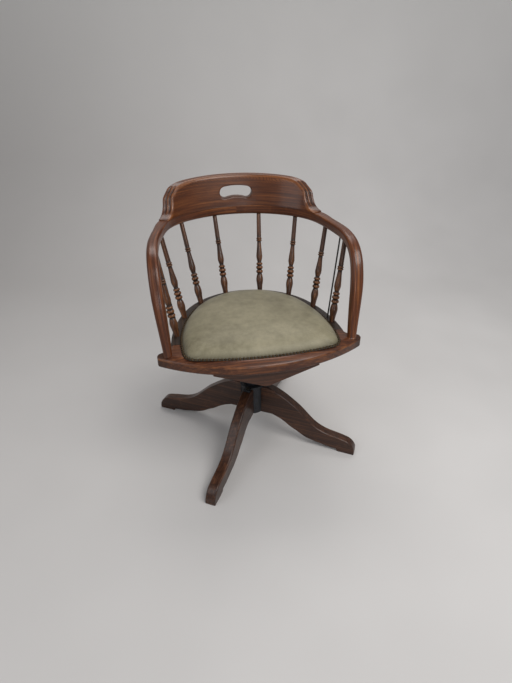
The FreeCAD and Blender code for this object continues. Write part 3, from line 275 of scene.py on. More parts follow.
def make_front_rail():
    """The front rail with its broad eased top edge and the arris below it, made from the plain rail."""
    node = nodes["seat_front_rail"]
    rail = bpy.data.objects.new("front_rail", node.data.copy())
    bpy.context.scene.collection.objects.link(rail)
    rail.matrix_world = node.matrix_world.copy()
    remesh = rail.modifiers.new("remesh", "REMESH")
    remesh.mode = "VOXEL"
    remesh.voxel_size = 0.0016
    relax = rail.modifiers.new("relax", "SMOOTH")
    relax.factor, relax.iterations = 0.5, 2
    dg = bpy.context.evaluated_depsgraph_get()
    mesh = bpy.data.meshes.new_from_object(rail.evaluated_get(dg))
    rail.modifiers.clear()
    rail.data = mesh
    mesh.transform(rail.matrix_world)
    rail.matrix_world = Matrix()
    co = points_of(rail) / MM
    depth = FRONT_R - np.hypot(co[:, 0], co[:, 1] - FRONT_C_Y)
    fall = 11.0 * np.clip(1 - depth / 22.0, 0, 1) ** 1.35
    round_off = 2.2 * np.clip(1 - depth / 3.0, 0, 1) ** 2
    co[:, 2] = np.minimum(co[:, 2], SEAT_TOP - fall - round_off)
    put_points(rail, co * MM)
    mesh.polygons.foreach_set("use_smooth", [True] * len(mesh.polygons))
    # Painted highlight along the arris, uneven in strength; the rail is darkened towards its ends, and along
    # the bottom edge as painted shade.
    arris = np.exp(-(np.clip(depth - 0.5, 0, None) / 2.6) ** 2) * np.exp(-((co[:, 2] - ARRIS_Z) / 3.0) ** 2)
    rng = np.clip(0.55 + 0.35 * np.sin(co[:, 0] / 17.0) + 0.25 * np.sin(co[:, 0] / 6.1 + 1), 0, 1)
    grime = np.clip((np.abs(co[:, 0]) - 262) / 30, 0, 1) * 0.75 + np.clip((428 - co[:, 2]) / 8, 0, 1) * 0.5
    store(rail, "wear_and_painted_light", np.c_[np.clip(grime, 0, 1), arris * rng, depth * 0])
    rail.data.materials.clear()
    rail.data.materials.append(materials["front_rail"])
    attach(rail, "seat")
    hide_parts("seat_front_rail")


def tidy_normals(obj, angle=None):
    """Makes all faces point outwards, and keeps edges sharper than angle crisp."""
    bm = bmesh.new()
    bm.from_mesh(obj.data)
    bmesh.ops.recalc_face_normals(bm, faces=bm.faces)
    bm.to_mesh(obj.data)
    bm.free()
    if angle:
        obj.data.set_sharp_from_angle(angle=math.radians(angle))


# Crest rail: leaning wall with a moulded top, fluted ends and a pierced hand-hold

BOW_TOP = BOW_Z + BOW_H / 2
HALF_BOW = BOW_W / 2
FRONT_LEAN, BACK_LEAN = 0.31, 0.205
FLUTES = (0.34, 0.67)
FLUTE_WIDTH, FLUTE_DEPTH = 0.085, 1.9
CREST_Y = np.array([168.0, 182.0, 199.0, 214.0, 223.0, 232.0, 247.0, 266.0, 292.0, 326.0, 360.0])
CREST_T = np.array([1.2, 3.5, 10.0, 22.0, 35.0, 53.0, 67.0, 82.5, 91.0, 95.2, 98.5])


def smooth_table(xs, ys, x):
    """A curve through the table that never overshoots."""
    xs, ys = np.asarray(xs, float), np.asarray(ys, float)
    h = np.diff(xs)
    d = np.diff(ys) / h
    m = np.zeros(len(xs))
    m[0], m[-1] = d[0], d[-1]
    for i in range(1, len(xs) - 1):
        if d[i - 1] * d[i] > 0:
            w1, w2 = 2 * h[i] + h[i - 1], h[i] + 2 * h[i - 1]
            m[i] = (w1 + w2) / (w1 / d[i - 1] + w2 / d[i])
    x = np.clip(x, xs[0], xs[-1])
    i = np.clip(np.searchsorted(xs, x) - 1, 0, len(h) - 1)
    t = (x - xs[i]) / h[i]
    return (ys[i] * (1 + 2 * t) * (1 - t) ** 2 + h[i] * m[i] * t * (1 - t) ** 2
            + ys[i + 1] * t * t * (3 - 2 * t) + h[i] * m[i + 1] * t * t * (t - 1))


def crest_top(y):
    return smooth_table(CREST_Y, CREST_T, y)


def crest_ring(s):
    """One upright section of the crest, as (distance outside the bow's line, height above the bow)."""
    p, out = plan_at(s)

    def rise(lean, base):
        t = crest_top(p[1])
        for _ in range(30):
            t = 0.5 * t + 0.5 * crest_top(p[1] + (base + lean * t) * out[1])
        return float(t)

    tf, tb = rise(FRONT_LEAN, -HALF_BOW), rise(BACK_LEAN, HALF_BOW)
    front, back = -HALF_BOW + FRONT_LEAN * tf, HALF_BOW + BACK_LEAN * tb
    thick = back - front
    rf, rb = min(5.0, 0.4 * tf, 0.3 * thick), min(4.0, 0.4 * tb, 0.3 * thick)
    pts = []
    for k in range(36):
        t = (tf - rf) * k / 35
        pts.append((-HALF_BOW + FRONT_LEAN * t, t, 0.0))
    for k in range(1, 45):
        w = k / 45
        off = front + thick * w
        t = float(crest_top(p[1] + off * out[1]))
        a, b = off - front, back - off
        if a < rf:
            t -= rf - math.sqrt(max(rf * rf - (rf - a) ** 2, 0))
        if b < rb:
            t -= rb - math.sqrt(max(rb * rb - (rb - b) ** 2, 0))
        pts.append((off, max(t, 0.3), w))
    for k in range(30):
        t = (tb - rb) * (1 - k / 29)
        pts.append((HALF_BOW + BACK_LEAN * t, t, 1.0))
    return p, out, pts


def make_crest():
    last = S_CORNER + SIDE_R * math.radians(1.9)
    keep = []
    for s in np.linspace(0, last, 300):
        p, out, pts = crest_ring(s)
        if crest_top(p[1] - HALF_BOW * out[1]) > 1.25 or p[1] - HALF_BOW * out[1] > 168:
            keep.append((s, p, out, pts))
    verts = []
    for sign, stations in ((-1, keep[:0:-1]), (1, keep)):
        for s, p, out, pts in stations:
            ring = []
            for off, t, w in pts:
                # The two flutes run along the moulded end and die out towards the arm.
                y = p[1] + off * out[1]
                slope = (crest_top(y + 1) - crest_top(y - 1)) / 2
                end = min(max((slope - 0.42) / 0.5, 0), 1)
                depth = (sum(FLUTE_DEPTH * math.exp(-((w - c) / FLUTE_WIDTH) ** 2) for c in FLUTES) * end
                         if 0 < w < 1 else 0)
                back_away = unit([-slope, 1.0])
                q = p + out * off + np.array([0, -depth * back_away[0]])
                ring.append((q[0] * sign, q[1], BOW_TOP + t - depth * back_away[1]))
            verts.append(ring)
    count = len(verts[0])
    rings = len(verts)
    verts = np.array(verts).reshape(-1, 3)
    faces = ring_faces(rings, count)
    faces += end_caps(rings, count)
    crest = new_piece("crest", verts * MM, faces, None)
    tidy_normals(crest)
    hole = handhold_cutter()
    cut = crest.modifiers.new("cut", "BOOLEAN")
    cut.operation, cut.solver, cut.object = "DIFFERENCE", "MANIFOLD", hole
    dg = bpy.context.evaluated_depsgraph_get()
    mesh = bpy.data.meshes.new_from_object(crest.evaluated_get(dg))
    crest.modifiers.clear()
    crest.data = mesh
    bpy.data.objects.remove(hole)
    mesh.polygons.foreach_set("use_smooth", [True] * len(mesh.polygons))
    mesh.set_sharp_from_angle(angle=math.radians(50))
    co = points_of(crest) / MM
    s, off = bow_coordinates(np.abs(co[:, 0]), co[:, 1])
    t = co[:, 2] - BOW_TOP
    store(crest, "grain", np.c_[np.sign(co[:, 0]) * s, off, t] * MM)
    # Painted light with some real wear: the flutes are darkened as painted shade with dirt, and the beads and
    # the front of the top edge are lightened as painted highlight with rubbed wear.
    through = (off + HALF_BOW - FRONT_LEAN * t) / (31.0 - 0.105 * t)
    y = co[:, 1]
    on_top = t > crest_top(y) - 7
    end = np.clip(((crest_top(y + 1) - crest_top(y - 1)) / 2 - 0.42) / 0.5, 0, 1) * on_top
    flute = sum(np.exp(-((through - c) / FLUTE_WIDTH) ** 2) for c in FLUTES) * end
    bead = (np.exp(-((through - 0.505) / 0.07) ** 2) + np.exp(-((through - 0.12) / 0.08) ** 2)) * end
    arris = on_top * (1 - end) * np.exp(-(through / 0.22) ** 2) * 0.7
    store(crest, "wear_and_painted_light", np.c_[np.clip(flute, 0, 1), np.clip(bead * 0.6 + arris, 0, 1), t * 0])
    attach(crest, "seat")
    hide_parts("crest_rail")
    return crest


def handhold_cutter():
    """The kidney hole with its worn, rounded rims, as a closed solid to cut with."""
    x, r, z0 = 36.5, 18.5, BOW_TOP + 41.5
    outline = []

    def arc(a, b, c, n):
        (ax, ay), (bx, by), (cx, cy) = a, b, c
        d = 2 * (ax * (by - cy) + bx * (cy - ay) + cx * (ay - by))
        aa, bb, cc = ax * ax + ay * ay, bx * bx + by * by, cx * cx + cy * cy
        ux = (aa * (by - cy) + bb * (cy - ay) + cc * (ay - by)) / d
        uy = (aa * (cx - bx) + bb * (ax - cx) + cc * (bx - ax)) / d
        a0, a1, a2 = (math.atan2(q[1] - uy, q[0] - ux) for q in (a, b, c))
        turn = (a2 - a0) % (2 * math.pi)
        if (a1 - a0) % (2 * math.pi) > turn:
            turn -= 2 * math.pi
        rad = math.hypot(ax - ux, ay - uy)
        angles = [a0 + turn * k / n for k in range(n)]
        return [(ux + rad * math.cos(t), uy + rad * math.sin(t)) for t in angles]

    outline += arc((-x, z0 + r), (0, z0 + r + 2.75), (x, z0 + r), 40)
    outline += arc((x, z0 + r), (x + r, z0), (x, z0 - r), 30)
    outline += arc((x, z0 - r), (0, z0 - r + 5.5), (-x, z0 - r), 40)
    outline += arc((-x, z0 - r), (-x - r, z0), (-x, z0 + r), 30)
    pts = np.array(outline)
    for _ in range(6):
        pts = 0.5 * pts + 0.25 * (np.roll(pts, 1, 0) + np.roll(pts, -1, 0))
    tangent = np.roll(pts, -1, 0) - np.roll(pts, 1, 0)
    normal = np.c_[-tangent[:, 1], tangent[:, 0]]
    normal /= np.linalg.norm(normal, axis=1)[:, None]

    def face_y(q, inner):
        t = q[:, 1] - BOW_TOP
        rad = BACK_R + (-HALF_BOW + FRONT_LEAN * t if inner else HALF_BOW + BACK_LEAN * t)
        return BACK_C[1] + np.sqrt(rad ** 2 - q[:, 0] ** 2)

    rim = 3.6
    rings = []
    for d in (-12.0, 0.0, 0.25, 0.8, 1.6, 2.6, rim):
        grow = rim if d < 0 else rim - math.sqrt(max(rim ** 2 - (rim - d) ** 2, 0))
        q = pts + normal * grow
        rings.append(np.c_[q[:, 0], face_y(q, True) + d, q[:, 1]])
    for d in (rim, 2.6, 1.6, 0.8, 0.25, 0.0, -12.0):
        grow = rim if d < 0 else rim - math.sqrt(max(rim ** 2 - (rim - d) ** 2, 0))
        q = pts + normal * grow
        rings.append(np.c_[q[:, 0], face_y(q, False) - d, q[:, 1]])
    n = len(pts)
    faces = ring_faces(len(rings), n)
    faces += end_caps(len(rings), n)
    cutter = new_piece("cutter", np.vstack(rings) * MM, faces)
    tidy_normals(cutter)
    return cutter


# Spindles

def seat_edge_x(y, inset):
    """Half width of the seat at depth y, moved in by inset."""
    joint = unit([0 - SEAT_SIDE_X, SEAT_BACK_Y - SEAT_SIDE_Y])
    if y > SEAT_BACK_Y + (BACK_ARC_R - inset) * joint[1]:
        return math.sqrt((BACK_ARC_R - inset) ** 2 - (y - SEAT_BACK_Y) ** 2)
    return SEAT_SIDE_X + math.sqrt((SIDE_ARC_R - inset) ** 2 - (y - SEAT_SIDE_Y) ** 2)


def bow_edge_x(y, offset):
    low = CORNER_C[1] + (CORNER_R + offset) * math.sin(A_SIDE)
    high = CORNER_C[1] + (CORNER_R + offset) * math.sin(A_BACK)
    c, r = (SIDE_C, SIDE_R) if y < low else (CORNER_C, CORNER_R) if y < high else (BACK_C, BACK_R)
    return c[0] + math.sqrt((r + offset) ** 2 - (y - c[1]) ** 2)


def spindle_profile():
    """Shares of the length and radii of the turning, from the seat to the bow."""
    rows = []

    def curve(table, n):
        xs, ys = zip(*table)
        for t in np.linspace(xs[0], xs[-1], n):
            rows.append((t, float(smooth_table(xs, ys, t))))

    def bead(a, b, edge, top):
        for k in range(13):
            u = k / 12
            rows.append((a + (b - a) * u, edge + (top - edge) * math.sqrt(max(1 - (2 * u - 1) ** 2, 0))))

    curve(((0, 8.0), (0.07, 9.4), (0.15, 12.0), (0.2, 10.2), (0.228, 7.5)), 30)
    for a, b, top in ((0.236, 0.272, 11.8), (0.288, 0.324, 11.8), (0.338, 0.368, 10.8)):
        bead(a, b, top - 2.6, top)
        rows.append((b + 0.006, top - 4))
    curve(((0.385, 7.2), (0.405, 8.6), (0.445, 10.5), (0.5, 9.6), (0.57, 7.8), (0.64, 6.6)), 34)
    for a, b in ((0.645, 0.664), (0.67, 0.689)):
        bead(a, b, 7.8, 9.6)
        rows.append((b + 0.003, 7.2))
    curve(((0.71, 7.6), (0.85, 7.3), (1.0, 7.0)), 14)
    return rows


def make_spindles():
    profile = spindle_profile()
    shares = np.array([r[0] for r in profile])
    radii = np.array([r[1] for r in profile])
    # Painted light with some real wear: coves are darkened as painted shade with dirt, and swells and beads
    # are lightened as painted highlight with rubbed wear.
    near = np.array([np.mean(radii[np.abs(shares - s) < 0.03]) for s in shares])
    hollow = np.clip((near - radii) / 1.6, 0, 1)
    proud = np.clip((radii - near) / 1.4, 0, 1)
    around = 40
    rng = random.Random(7)
    for index, (ys, yh) in enumerate(zip((-66.0, 45.0, 138.0, 190.0), (-10.0, 119.6, 244.3, 302.3)), 1):
        foot0 = np.array([seat_edge_x(ys, 16.0), ys, 460.0])
        head0 = np.array([bow_edge_x(yh, -4.0), yh, 703.5])
        for sign, side in ((1, "left"), (-1, "right")):
            foot, head = foot0 * (sign, 1, 1), head0 * (sign, 1, 1)
            length = np.linalg.norm(head - foot)
            along = (head - foot) / length
            a = unit(np.cross(along, (0, 1, 0)))
            b = np.cross(along, a)
            verts, grain, wear_and_painted_light = [], [], []
            turn = rng.random() * 10
            for i, (share, radius) in enumerate(profile):
                for k in range(around):
                    ang = 2 * math.pi * k / around + turn
                    local = radius * np.array([math.cos(ang), math.sin(ang)])
                    p = foot + along * share * length + a * local[0] + b * local[1]
                    if i == 0 or i == len(profile) - 1:
                        z = 460.0 if i == 0 else 703.5
                        p = p + along * ((z - p[2]) / along[2])
                    verts.append(p)
                    grain.append((share * length + index * 331 + (sign + 1) * 97, local[0], local[1]))
                    wear_and_painted_light.append((hollow[i], proud[i], 0))
            n = len(profile)
            faces = ring_faces(n, around)
            faces += end_caps(n, around)
            name = "turned_" + side + "_" + str(index)
            obj = new_piece(name, np.array(verts) * MM, faces, "seat",
                            ["spindle_" + side + "_" + str(index)])
            store(obj, "grain", np.array(grain) * MM)
            store(obj, "wear_and_painted_light", wear_and_painted_light)
            tidy_normals(obj, 60)
            obj.data.materials.append(materials["oak_turned"])


# Leather pad and its nails

def pad_arcs(inset):
    """The pad's outline from the front corner on, as (centre x, centre y, radius, start angle, end angle)."""
    side_c, side_r = np.array([SEAT_SIDE_X, SEAT_SIDE_Y]), SIDE_ARC_R - PAD_INSET - inset
    front_c, front_r = np.array([0.0, 1000.0 - 257.5 + 24.5]), 1000.0 - inset
    corner_r = 42.0 - inset
    r1, r2 = side_r - corner_r, front_r - corner_r
    gap = np.linalg.norm(front_c - side_c)
    along = (r1 * r1 - r2 * r2 + gap * gap) / (2 * gap)
    h = math.sqrt(r1 * r1 - along * along)
    u = (front_c - side_c) / gap
    across = np.array([-u[1], u[0]])
    corner = min((side_c + u * along + sg * h * across for sg in (1, -1)), key=lambda p: p[1])
    a_side = math.atan2(corner[1] - side_c[1], corner[0] - side_c[0])
    a_front = math.atan2(corner[1] - front_c[1], corner[0] - front_c[0])
    joint = math.atan2(SEAT_BACK_Y - SEAT_SIDE_Y, -SEAT_SIDE_X)
    back_r = BACK_ARC_R - PAD_INSET - inset
    return [(front_c[0], front_c[1], front_r, -math.pi - a_front, a_front),
            (corner[0], corner[1], corner_r, a_front, a_side),
            (side_c[0], side_c[1], side_r, a_side, joint),
            (0.0, SEAT_BACK_Y, back_r, joint, math.pi - joint),
            (-side_c[0], side_c[1], side_r, math.pi - joint, math.pi - a_side),
            (-corner[0], corner[1], corner_r, math.pi - a_side, math.pi - a_front)]


def pad_points(inset, lengths):
    """Points at shares of the outline's length, with the outward direction at each."""
    arcs = pad_arcs(inset)
    runs = [r * abs(a1 - a0) for _, _, r, a0, a1 in arcs]
    ends = np.cumsum(runs)
    out = []
    for share in lengths:
        d = share * ends[-1]
        i = min(int(np.searchsorted(ends, d)), len(arcs) - 1)
        cx, cy, r, a0, a1 = arcs[i]
        a = a0 + (a1 - a0) * (d - (ends[i] - runs[i])) / runs[i]
        out.append((cx + r * math.cos(a), cy + r * math.sin(a), math.cos(a), math.sin(a)))
    return np.array(out), ends[-1]


NAILS = int(pad_points(4.0, [0])[1] / 10.2)


def make_pad():
    per = 4
    n = NAILS * per
    rim, _ = pad_points(0.0, [k / n for k in range(n)])
    mid, _ = pad_points(4.0, [k / n for k in range(n)])
    base, _ = pad_points(8.0, [k / n for k in range(n)])
    rings = [np.c_[rim[:, :2] - 0.3 * rim[:, 2:], np.full(n, 460.05)],
             np.c_[rim[:, :2], np.full(n, 461.2)],
             np.c_[rim[:, :2] - 0.8 * rim[:, 2:], np.full(n, 462.0)],
             np.c_[mid[:, :2] + 1.6 * mid[:, 2:], np.full(n, 462.1)],
             np.c_[mid[:, :2], np.full(n, 462.1)],
             np.c_[mid[:, :2] - 1.8 * mid[:, 2:], np.full(n, 462.2)]]
    centre = np.array([0.0, SEAT_BACK_Y])
    steps = 46
    for k in range(steps):
        t = math.radians(1.5 + 87.0 * (k / (steps - 1)) ** 1.15)
        share = math.cos(t) ** (2 / 3)
        lift = math.sin(t)
        xy = centre + (base[:, :2] - centre) * share
        rings.append(np.c_[xy, np.full(n, 462.2 + 40.4 * lift)])
    count = len(rings)
    verts = np.vstack(rings + [np.array([[centre[0], centre[1], 462.2 + 40.4]])])
    faces = ring_faces(count, n)
    tip = count * n
    faces += [((count - 1) * n + j, (count - 1) * n + (j + 1) % n, tip) for j in range(n)]
    pad = new_piece("leather_pad", verts * MM, faces)
    tidy_normals(pad)
    before = points_of(pad)
    hold = pad.vertex_groups.new(name="hold")
    hold.add([i * n + j for i in range(3) for j in range(n)], 1.0, "REPLACE")
    # The leather is held hard at each nail and is free to stand up between them.
    hold.add([i * n + j for i in (3, 4, 5) for j in range(0, n, per)], 1.0, "REPLACE")
    cloth = pad.modifiers.new("cloth", "CLOTH")
    s = cloth.settings
    s.quality = 4
    s.mass = 0.35
    s.tension_stiffness = s.compression_stiffness = 22
    s.shear_stiffness = 12
    s.bending_stiffness = 2.2
    s.use_pressure = True
    s.uniform_pressure_force = 5.0
    s.vertex_group_mass = "hold"
    s.effector_weights.gravity = 0
    cloth.collision_settings.use_collision = False
    scene = bpy.context.scene
    for f in range(1, 19):
        scene.frame_set(f)
    dg = bpy.context.evaluated_depsgraph_get()
    after = np.zeros(len(before) * 3)
    pad.evaluated_get(dg).data.vertices.foreach_get("co", after)
    after = after.reshape(-1, 3)
    pad.modifiers.clear()
    scene.frame_set(1)
    move = after - before
    size = np.linalg.norm(move, axis=1)
    cap = 0.0022
    move *= (np.minimum(size, cap) / np.maximum(size, 1e-9))[:, None]
    put_points(pad, before + move)
    # Puckers run up from each nail and die out on the crown's side.
    co = points_of(pad)
    height = np.clip((co[:, 2] / MM - 462.2) / 12.0, 0, None)
    column = np.arange(len(co)) % n
    ring_no = np.arange(len(co)) // n
    rng = np.random.RandomState(3)
    weight = 0.6 + 0.8 * rng.rand(NAILS)
    at = column / per
    wave = np.cos(2 * np.pi * at) * weight[(np.round(at).astype(int)) % NAILS]
    pull = np.where(ring_no > 5, 0.55 * np.exp(-height * 1.4) * wave, 0.0)
    pull[-1] = 0
    out = np.c_[co[:, 0], co[:, 1] - centre[1] * MM]
    out /= np.maximum(np.linalg.norm(out, axis=1), 1e-9)[:, None]
    co[:, 0] -= out[:, 0] * pull * MM
    co[:, 1] -= out[:, 1] * pull * MM
    co[:, 2] -= 0.5 * pull * MM
    # Slow unevenness of the stuffing.
    for i in range(len(co)):
        h = min(max((co[i, 2] / MM - 470) / 25, 0), 1)
        q = Vector((co[i, 0] * 14, co[i, 1] * 14, 3.0))
        co[i, 2] += h * 0.0011 * noise.noise(q)
    put_points(pad, co)
    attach(pad, "seat")
    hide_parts("seat_pad")
    pad.data.materials.append(materials["leather"])
    return pad


def make_nails():
    line, _ = pad_points(4.0, [k / NAILS for k in range(NAILS)])
    rng = random.Random(11)
    verts, faces = [], []
    around = 20
    profile = [(4.6, -0.2), (4.62, 0.1), (4.45, 0.6), (4.0, 1.15), (3.3, 1.65), (2.4, 2.05), (1.2, 2.32)]
    for x, y, _, _ in line:
        tilt = Matrix.Rotation(rng.gauss(0, 0.05), 3, "X") @ Matrix.Rotation(rng.gauss(0, 0.05), 3, "Y")
        lift = rng.gauss(0, 0.06)
        size = 1 + rng.gauss(0, 0.012)
        first = len(verts)
        for r, h in profile:
            for k in range(around):
                a = 2 * math.pi * k / around
                p = tilt @ Vector((r * size * math.cos(a), r * size * math.sin(a), h))
                verts.append((x + p.x, y + p.y, 462.25 + lift + p.z))
        p = tilt @ Vector((0, 0, 2.4))
        verts.append((x + p.x, y + p.y, 462.25 + lift + p.z))
        tip = len(verts) - 1
        for f in ring_faces(len(profile), around):
            faces.append(tuple(first + i for i in f))
        top = first + (len(profile) - 1) * around
        faces += [(top + k, top + (k + 1) % around, tip) for k in range(around)]
        faces.append(tuple(first + k for k in range(around))[::-1])
    nails = new_piece("nail_heads", np.array(verts) * MM, faces, "seat", ["pad_nails"])
    nails.data.set_sharp_from_angle(angle=math.radians(60))
    nails.data.materials.append(materials["nail"])


# Materials

class Shader:
    """A small helper that adds nodes to one material."""

    def __init__(self, name):
        self.material = bpy.data.materials.new(name)
        self.material.use_nodes = True
        self.tree = self.material.node_tree
        self.tree.nodes.clear()
        self.out = self.tree.nodes.new("ShaderNodeOutputMaterial")
        self.bsdf = self.tree.nodes.new("ShaderNodeBsdfPrincipled")
        self.tree.links.new(self.bsdf.outputs[0], self.out.inputs[0])

    def node(self, kind, **settings):
        made = self.tree.nodes.new("ShaderNode" + kind)
        for key, value in settings.items():
            setattr(made, key, value)
        return made

    def link(self, a, b):
        self.tree.links.new(a, b)

    def set(self, socket, value):
        if isinstance(value, bpy.types.NodeSocket):
            self.tree.links.new(value, socket)
        else:
            socket.default_value = value

    def math(self, operation, a, b=0.0):
        n = self.node("Math", operation=operation)
        self.set(n.inputs[0], a)
        self.set(n.inputs[1], b)
        return n.outputs[0]

    def mix(self, a, b, share, kind="MIX"):
        n = self.node("Mix", data_type="RGBA", blend_type=kind, clamp_factor=True)
        self.set(n.inputs[0], share)
        self.set(n.inputs[6], a)
        self.set(n.inputs[7], b)
        return n.outputs[2]

    def ramp(self, value, *stops):
        n = self.node("ValToRGB")
        elements = n.color_ramp.elements
        while len(elements) < len(stops):
            elements.new(0.5)
        for e, (at, colour) in zip(elements, stops):
            e.position = at
            e.color = colour
        self.link(value, n.inputs[0])
        return n.outputs[0]

    def range(self, value, a, b, c=0.0, d=1.0):
        n = self.node("MapRange", clamp=True)
        self.set(n.inputs["Value"], value)
        for key, v in (("From Min", a), ("From Max", b), ("To Min", c), ("To Max", d)):
            n.inputs[key].default_value = v
        return n.outputs[0]

    def stretch(self, vector, scale, move=(0, 0, 0), turn=(0, 0, 0)):
        n = self.node("Mapping")
        self.link(vector, n.inputs[0])
        n.inputs["Location"].default_value = move
        n.inputs["Rotation"].default_value = turn
        n.inputs["Scale"].default_value = scale
        return n.outputs[0]

    def noise(self, vector, scale=1.0, detail=2.0, rough=0.5, distort=0.0):
        n = self.node("TexNoise")
        self.link(vector, n.inputs["Vector"])
        n.inputs["Scale"].default_value = scale
        n.inputs["Detail"].default_value = detail
        n.inputs["Roughness"].default_value = rough
        n.inputs["Distortion"].default_value = distort
        return n.outputs[0]

    def voronoi(self, vector, scale):
        n = self.node("TexVoronoi", feature="F1")
        self.link(vector, n.inputs["Vector"])
        n.inputs["Scale"].default_value = scale
        return n.outputs[0]

    def bump(self, height, strength, distance, under=None):
        n = self.node("Bump")
        n.inputs["Strength"].default_value = strength
        n.inputs["Distance"].default_value = distance
        self.link(height, n.inputs["Height"])
        if under:
            self.link(under, n.inputs["Normal"])
        return n.outputs[0]

    def finish(self, colour, rough, normal=None, **values):
        self.set(self.bsdf.inputs["Base Color"], colour)
        self.set(self.bsdf.inputs["Roughness"], rough)
        if normal:
            self.link(normal, self.bsdf.inputs["Normal"])
        for key, value in values.items():
            self.set(self.bsdf.inputs[key.replace("_", " ")], value)
        return self.material


def oak(name, dark, mid, light, source="grain", turn=0.0, rings=150.0, pith=(0.03, 0.012), gloss=0.30,
        flame=False, fleck=0.0, order="XYZ", wear_and_painted_light=False, shade=0.45, line=0.6, dusk=None):
    """Fumed, polished oak: growth rings, open pores and fibres along the first axis of its coordinates."""
    m = Shader(name)
    if source == "grain":
        p = m.node("Attribute", attribute_name="grain").outputs["Vector"]
    else:
        p = m.stretch(m.node("TexCoord").outputs["Object"], (1, 1, 1), turn=(0, 0, turn))
        if order != "XYZ":
            split = m.node("SeparateXYZ")
            m.link(p, split.inputs[0])
            joined = m.node("CombineXYZ")
            for i, axis in enumerate(order):
                m.link(split.outputs["XYZ".index(axis)], joined.inputs[i])
            p = joined.outputs[0]
    split = m.node("SeparateXYZ")
    m.link(p, split.inputs[0])
    x, y, z = split.outputs
    if flame:
        # Nested tongues hang from the top edge and trail away sideways into fine straight grain.
        depth = m.math("SUBTRACT", 0.0985, z)
        steep = m.math("POWER", 2.718, m.math("MULTIPLY", depth, 58.0))
        wobble = m.math("MULTIPLY", m.noise(m.stretch(p, (17, 30, 34)), 1.0, 3.0, 0.6), 0.040)
        lean = m.math("MULTIPLY", steep, 0.0070)
        value = m.math("SUBTRACT", m.math("ADD", x, wobble), lean)
        value = m.math("MULTIPLY", value, 96.0)
        saw = m.math("FRACT", value)
        band = m.math("POWER", m.range(saw, 0.0, 0.46, 1.0, 0.0), 1.35)
        onset = m.range(saw, 0.93, 1.0, 0.0, 1.0)
        band = m.math("MAXIMUM", band, onset)
        fade = m.range(depth, 0.014, 0.055, 1.0, 0.10)
        grown = m.math("MULTIPLY", band, fade)
    else:
        warp = m.noise(m.stretch(p, (2.5, 14, 14)), 1.0, 2.0)
        dy = m.math("ADD", y, pith[0])
        dz = m.math("ADD", z, pith[1])
        far = m.math("SQRT", m.math("ADD", m.math("MULTIPLY", dy, dy), m.math("MULTIPLY", dz, dz)))
        value = m.math("ADD", far, m.math("MULTIPLY", warp, 0.022))
        saw = m.math("FRACT", m.math("MULTIPLY", value, rings))
        grown = m.math("POWER", m.range(saw, 0.0, 0.6, 1.0, 0.0), 1.4)
    fibre = m.noise(m.stretch(p, (9, 560, 560)), 1.0, 2.0, 0.6)
    streak = m.noise(m.stretch(p, (5, 110, 110)), 1.0, 3.0, 0.55)
    pores = m.noise(m.stretch(p, (95, 1500, 1500)), 1.0, 0.0, 0.5)
    pits = m.range(pores, 0.60, 0.72)
    cloud = m.noise(m.stretch(p, (8, 20, 20)), 1.0, 2.0)
    tone = m.math("ADD", m.math("MULTIPLY", streak, 0.6), m.math("MULTIPLY", fibre, 0.4))
    colour = m.ramp(tone, (0.30, dark), (0.50, mid), (0.72, light))
    colour = m.mix(colour, dark, m.math("MULTIPLY", grown, line))
    deep = tuple(c * 0.45 for c in dark[:3]) + (1,)
    dirt = m.math("ADD", m.math("MULTIPLY", grown, 0.35), 0.35)
    colour = m.mix(colour, deep, m.math("MULTIPLY", pits, dirt))
    patch = m.range(cloud, 0.32, 0.68, 0.0, shade)
    colour = m.mix(colour, m.mix(colour, (0.50, 0.43, 0.38, 1), 1.0, "MULTIPLY"), patch)
    if fleck:
        rays = m.noise(m.stretch(p, (60, 330, 40), turn=(0, 0, 0.45)), 1.0, 2.0, 0.55)
        colour = m.mix(colour, light, m.math("MULTIPLY", m.range(rays, 0.58, 0.66), fleck))
    if dusk:
        # A broad change of shade between two heights.
        low, high, amount = dusk
        where = m.node("SeparateXYZ")
        m.link(m.node("TexCoord").outputs["Object"], where.inputs[0])
        dim = m.range(where.outputs["Z"], low, high, amount, 0.0)
        colour = m.mix(colour, m.mix(colour, (0.34, 0.28, 0.26, 1), 1.0, "MULTIPLY"), dim)
    rough = m.math("ADD", m.math("MULTIPLY", fibre, 0.16), gloss)
    if wear_and_painted_light:
        # Painted light with some real wear: hollows are darkened as painted shade with old polish and dirt;
        # proud edges are lightened as painted highlight and rubbed pale and smooth.
        wear_and_light_marks = m.node("SeparateXYZ")
        m.link(m.node("Attribute", attribute_name="wear_and_painted_light").outputs["Vector"], wear_and_light_marks.inputs[0])
        colour = m.mix(colour, deep, m.math("MULTIPLY", wear_and_light_marks.outputs["X"], 0.85))
        rub_and_highlight = m.math("MULTIPLY", wear_and_light_marks.outputs["Y"], m.range(streak, 0.35, 0.6, 0.35, 0.75))
        colour = m.mix(colour, light, rub_and_highlight)
        rough = m.math("ADD", rough, m.math("MULTIPLY", wear_and_light_marks.outputs["X"], 0.2))
    height = m.math("SUBTRACT", m.math("MULTIPLY", fibre, 0.4), pits)
    normal = m.bump(height, 0.22, 0.00022)
    normal = m.bump(m.noise(m.stretch(p, (12, 36, 36)), 1.0, 1.0), 0.10, 0.0012, normal)
    return m.finish(colour, rough, normal, Coat_Weight=0.22, Coat_Roughness=0.16, Specular_IOR_Level=0.32)


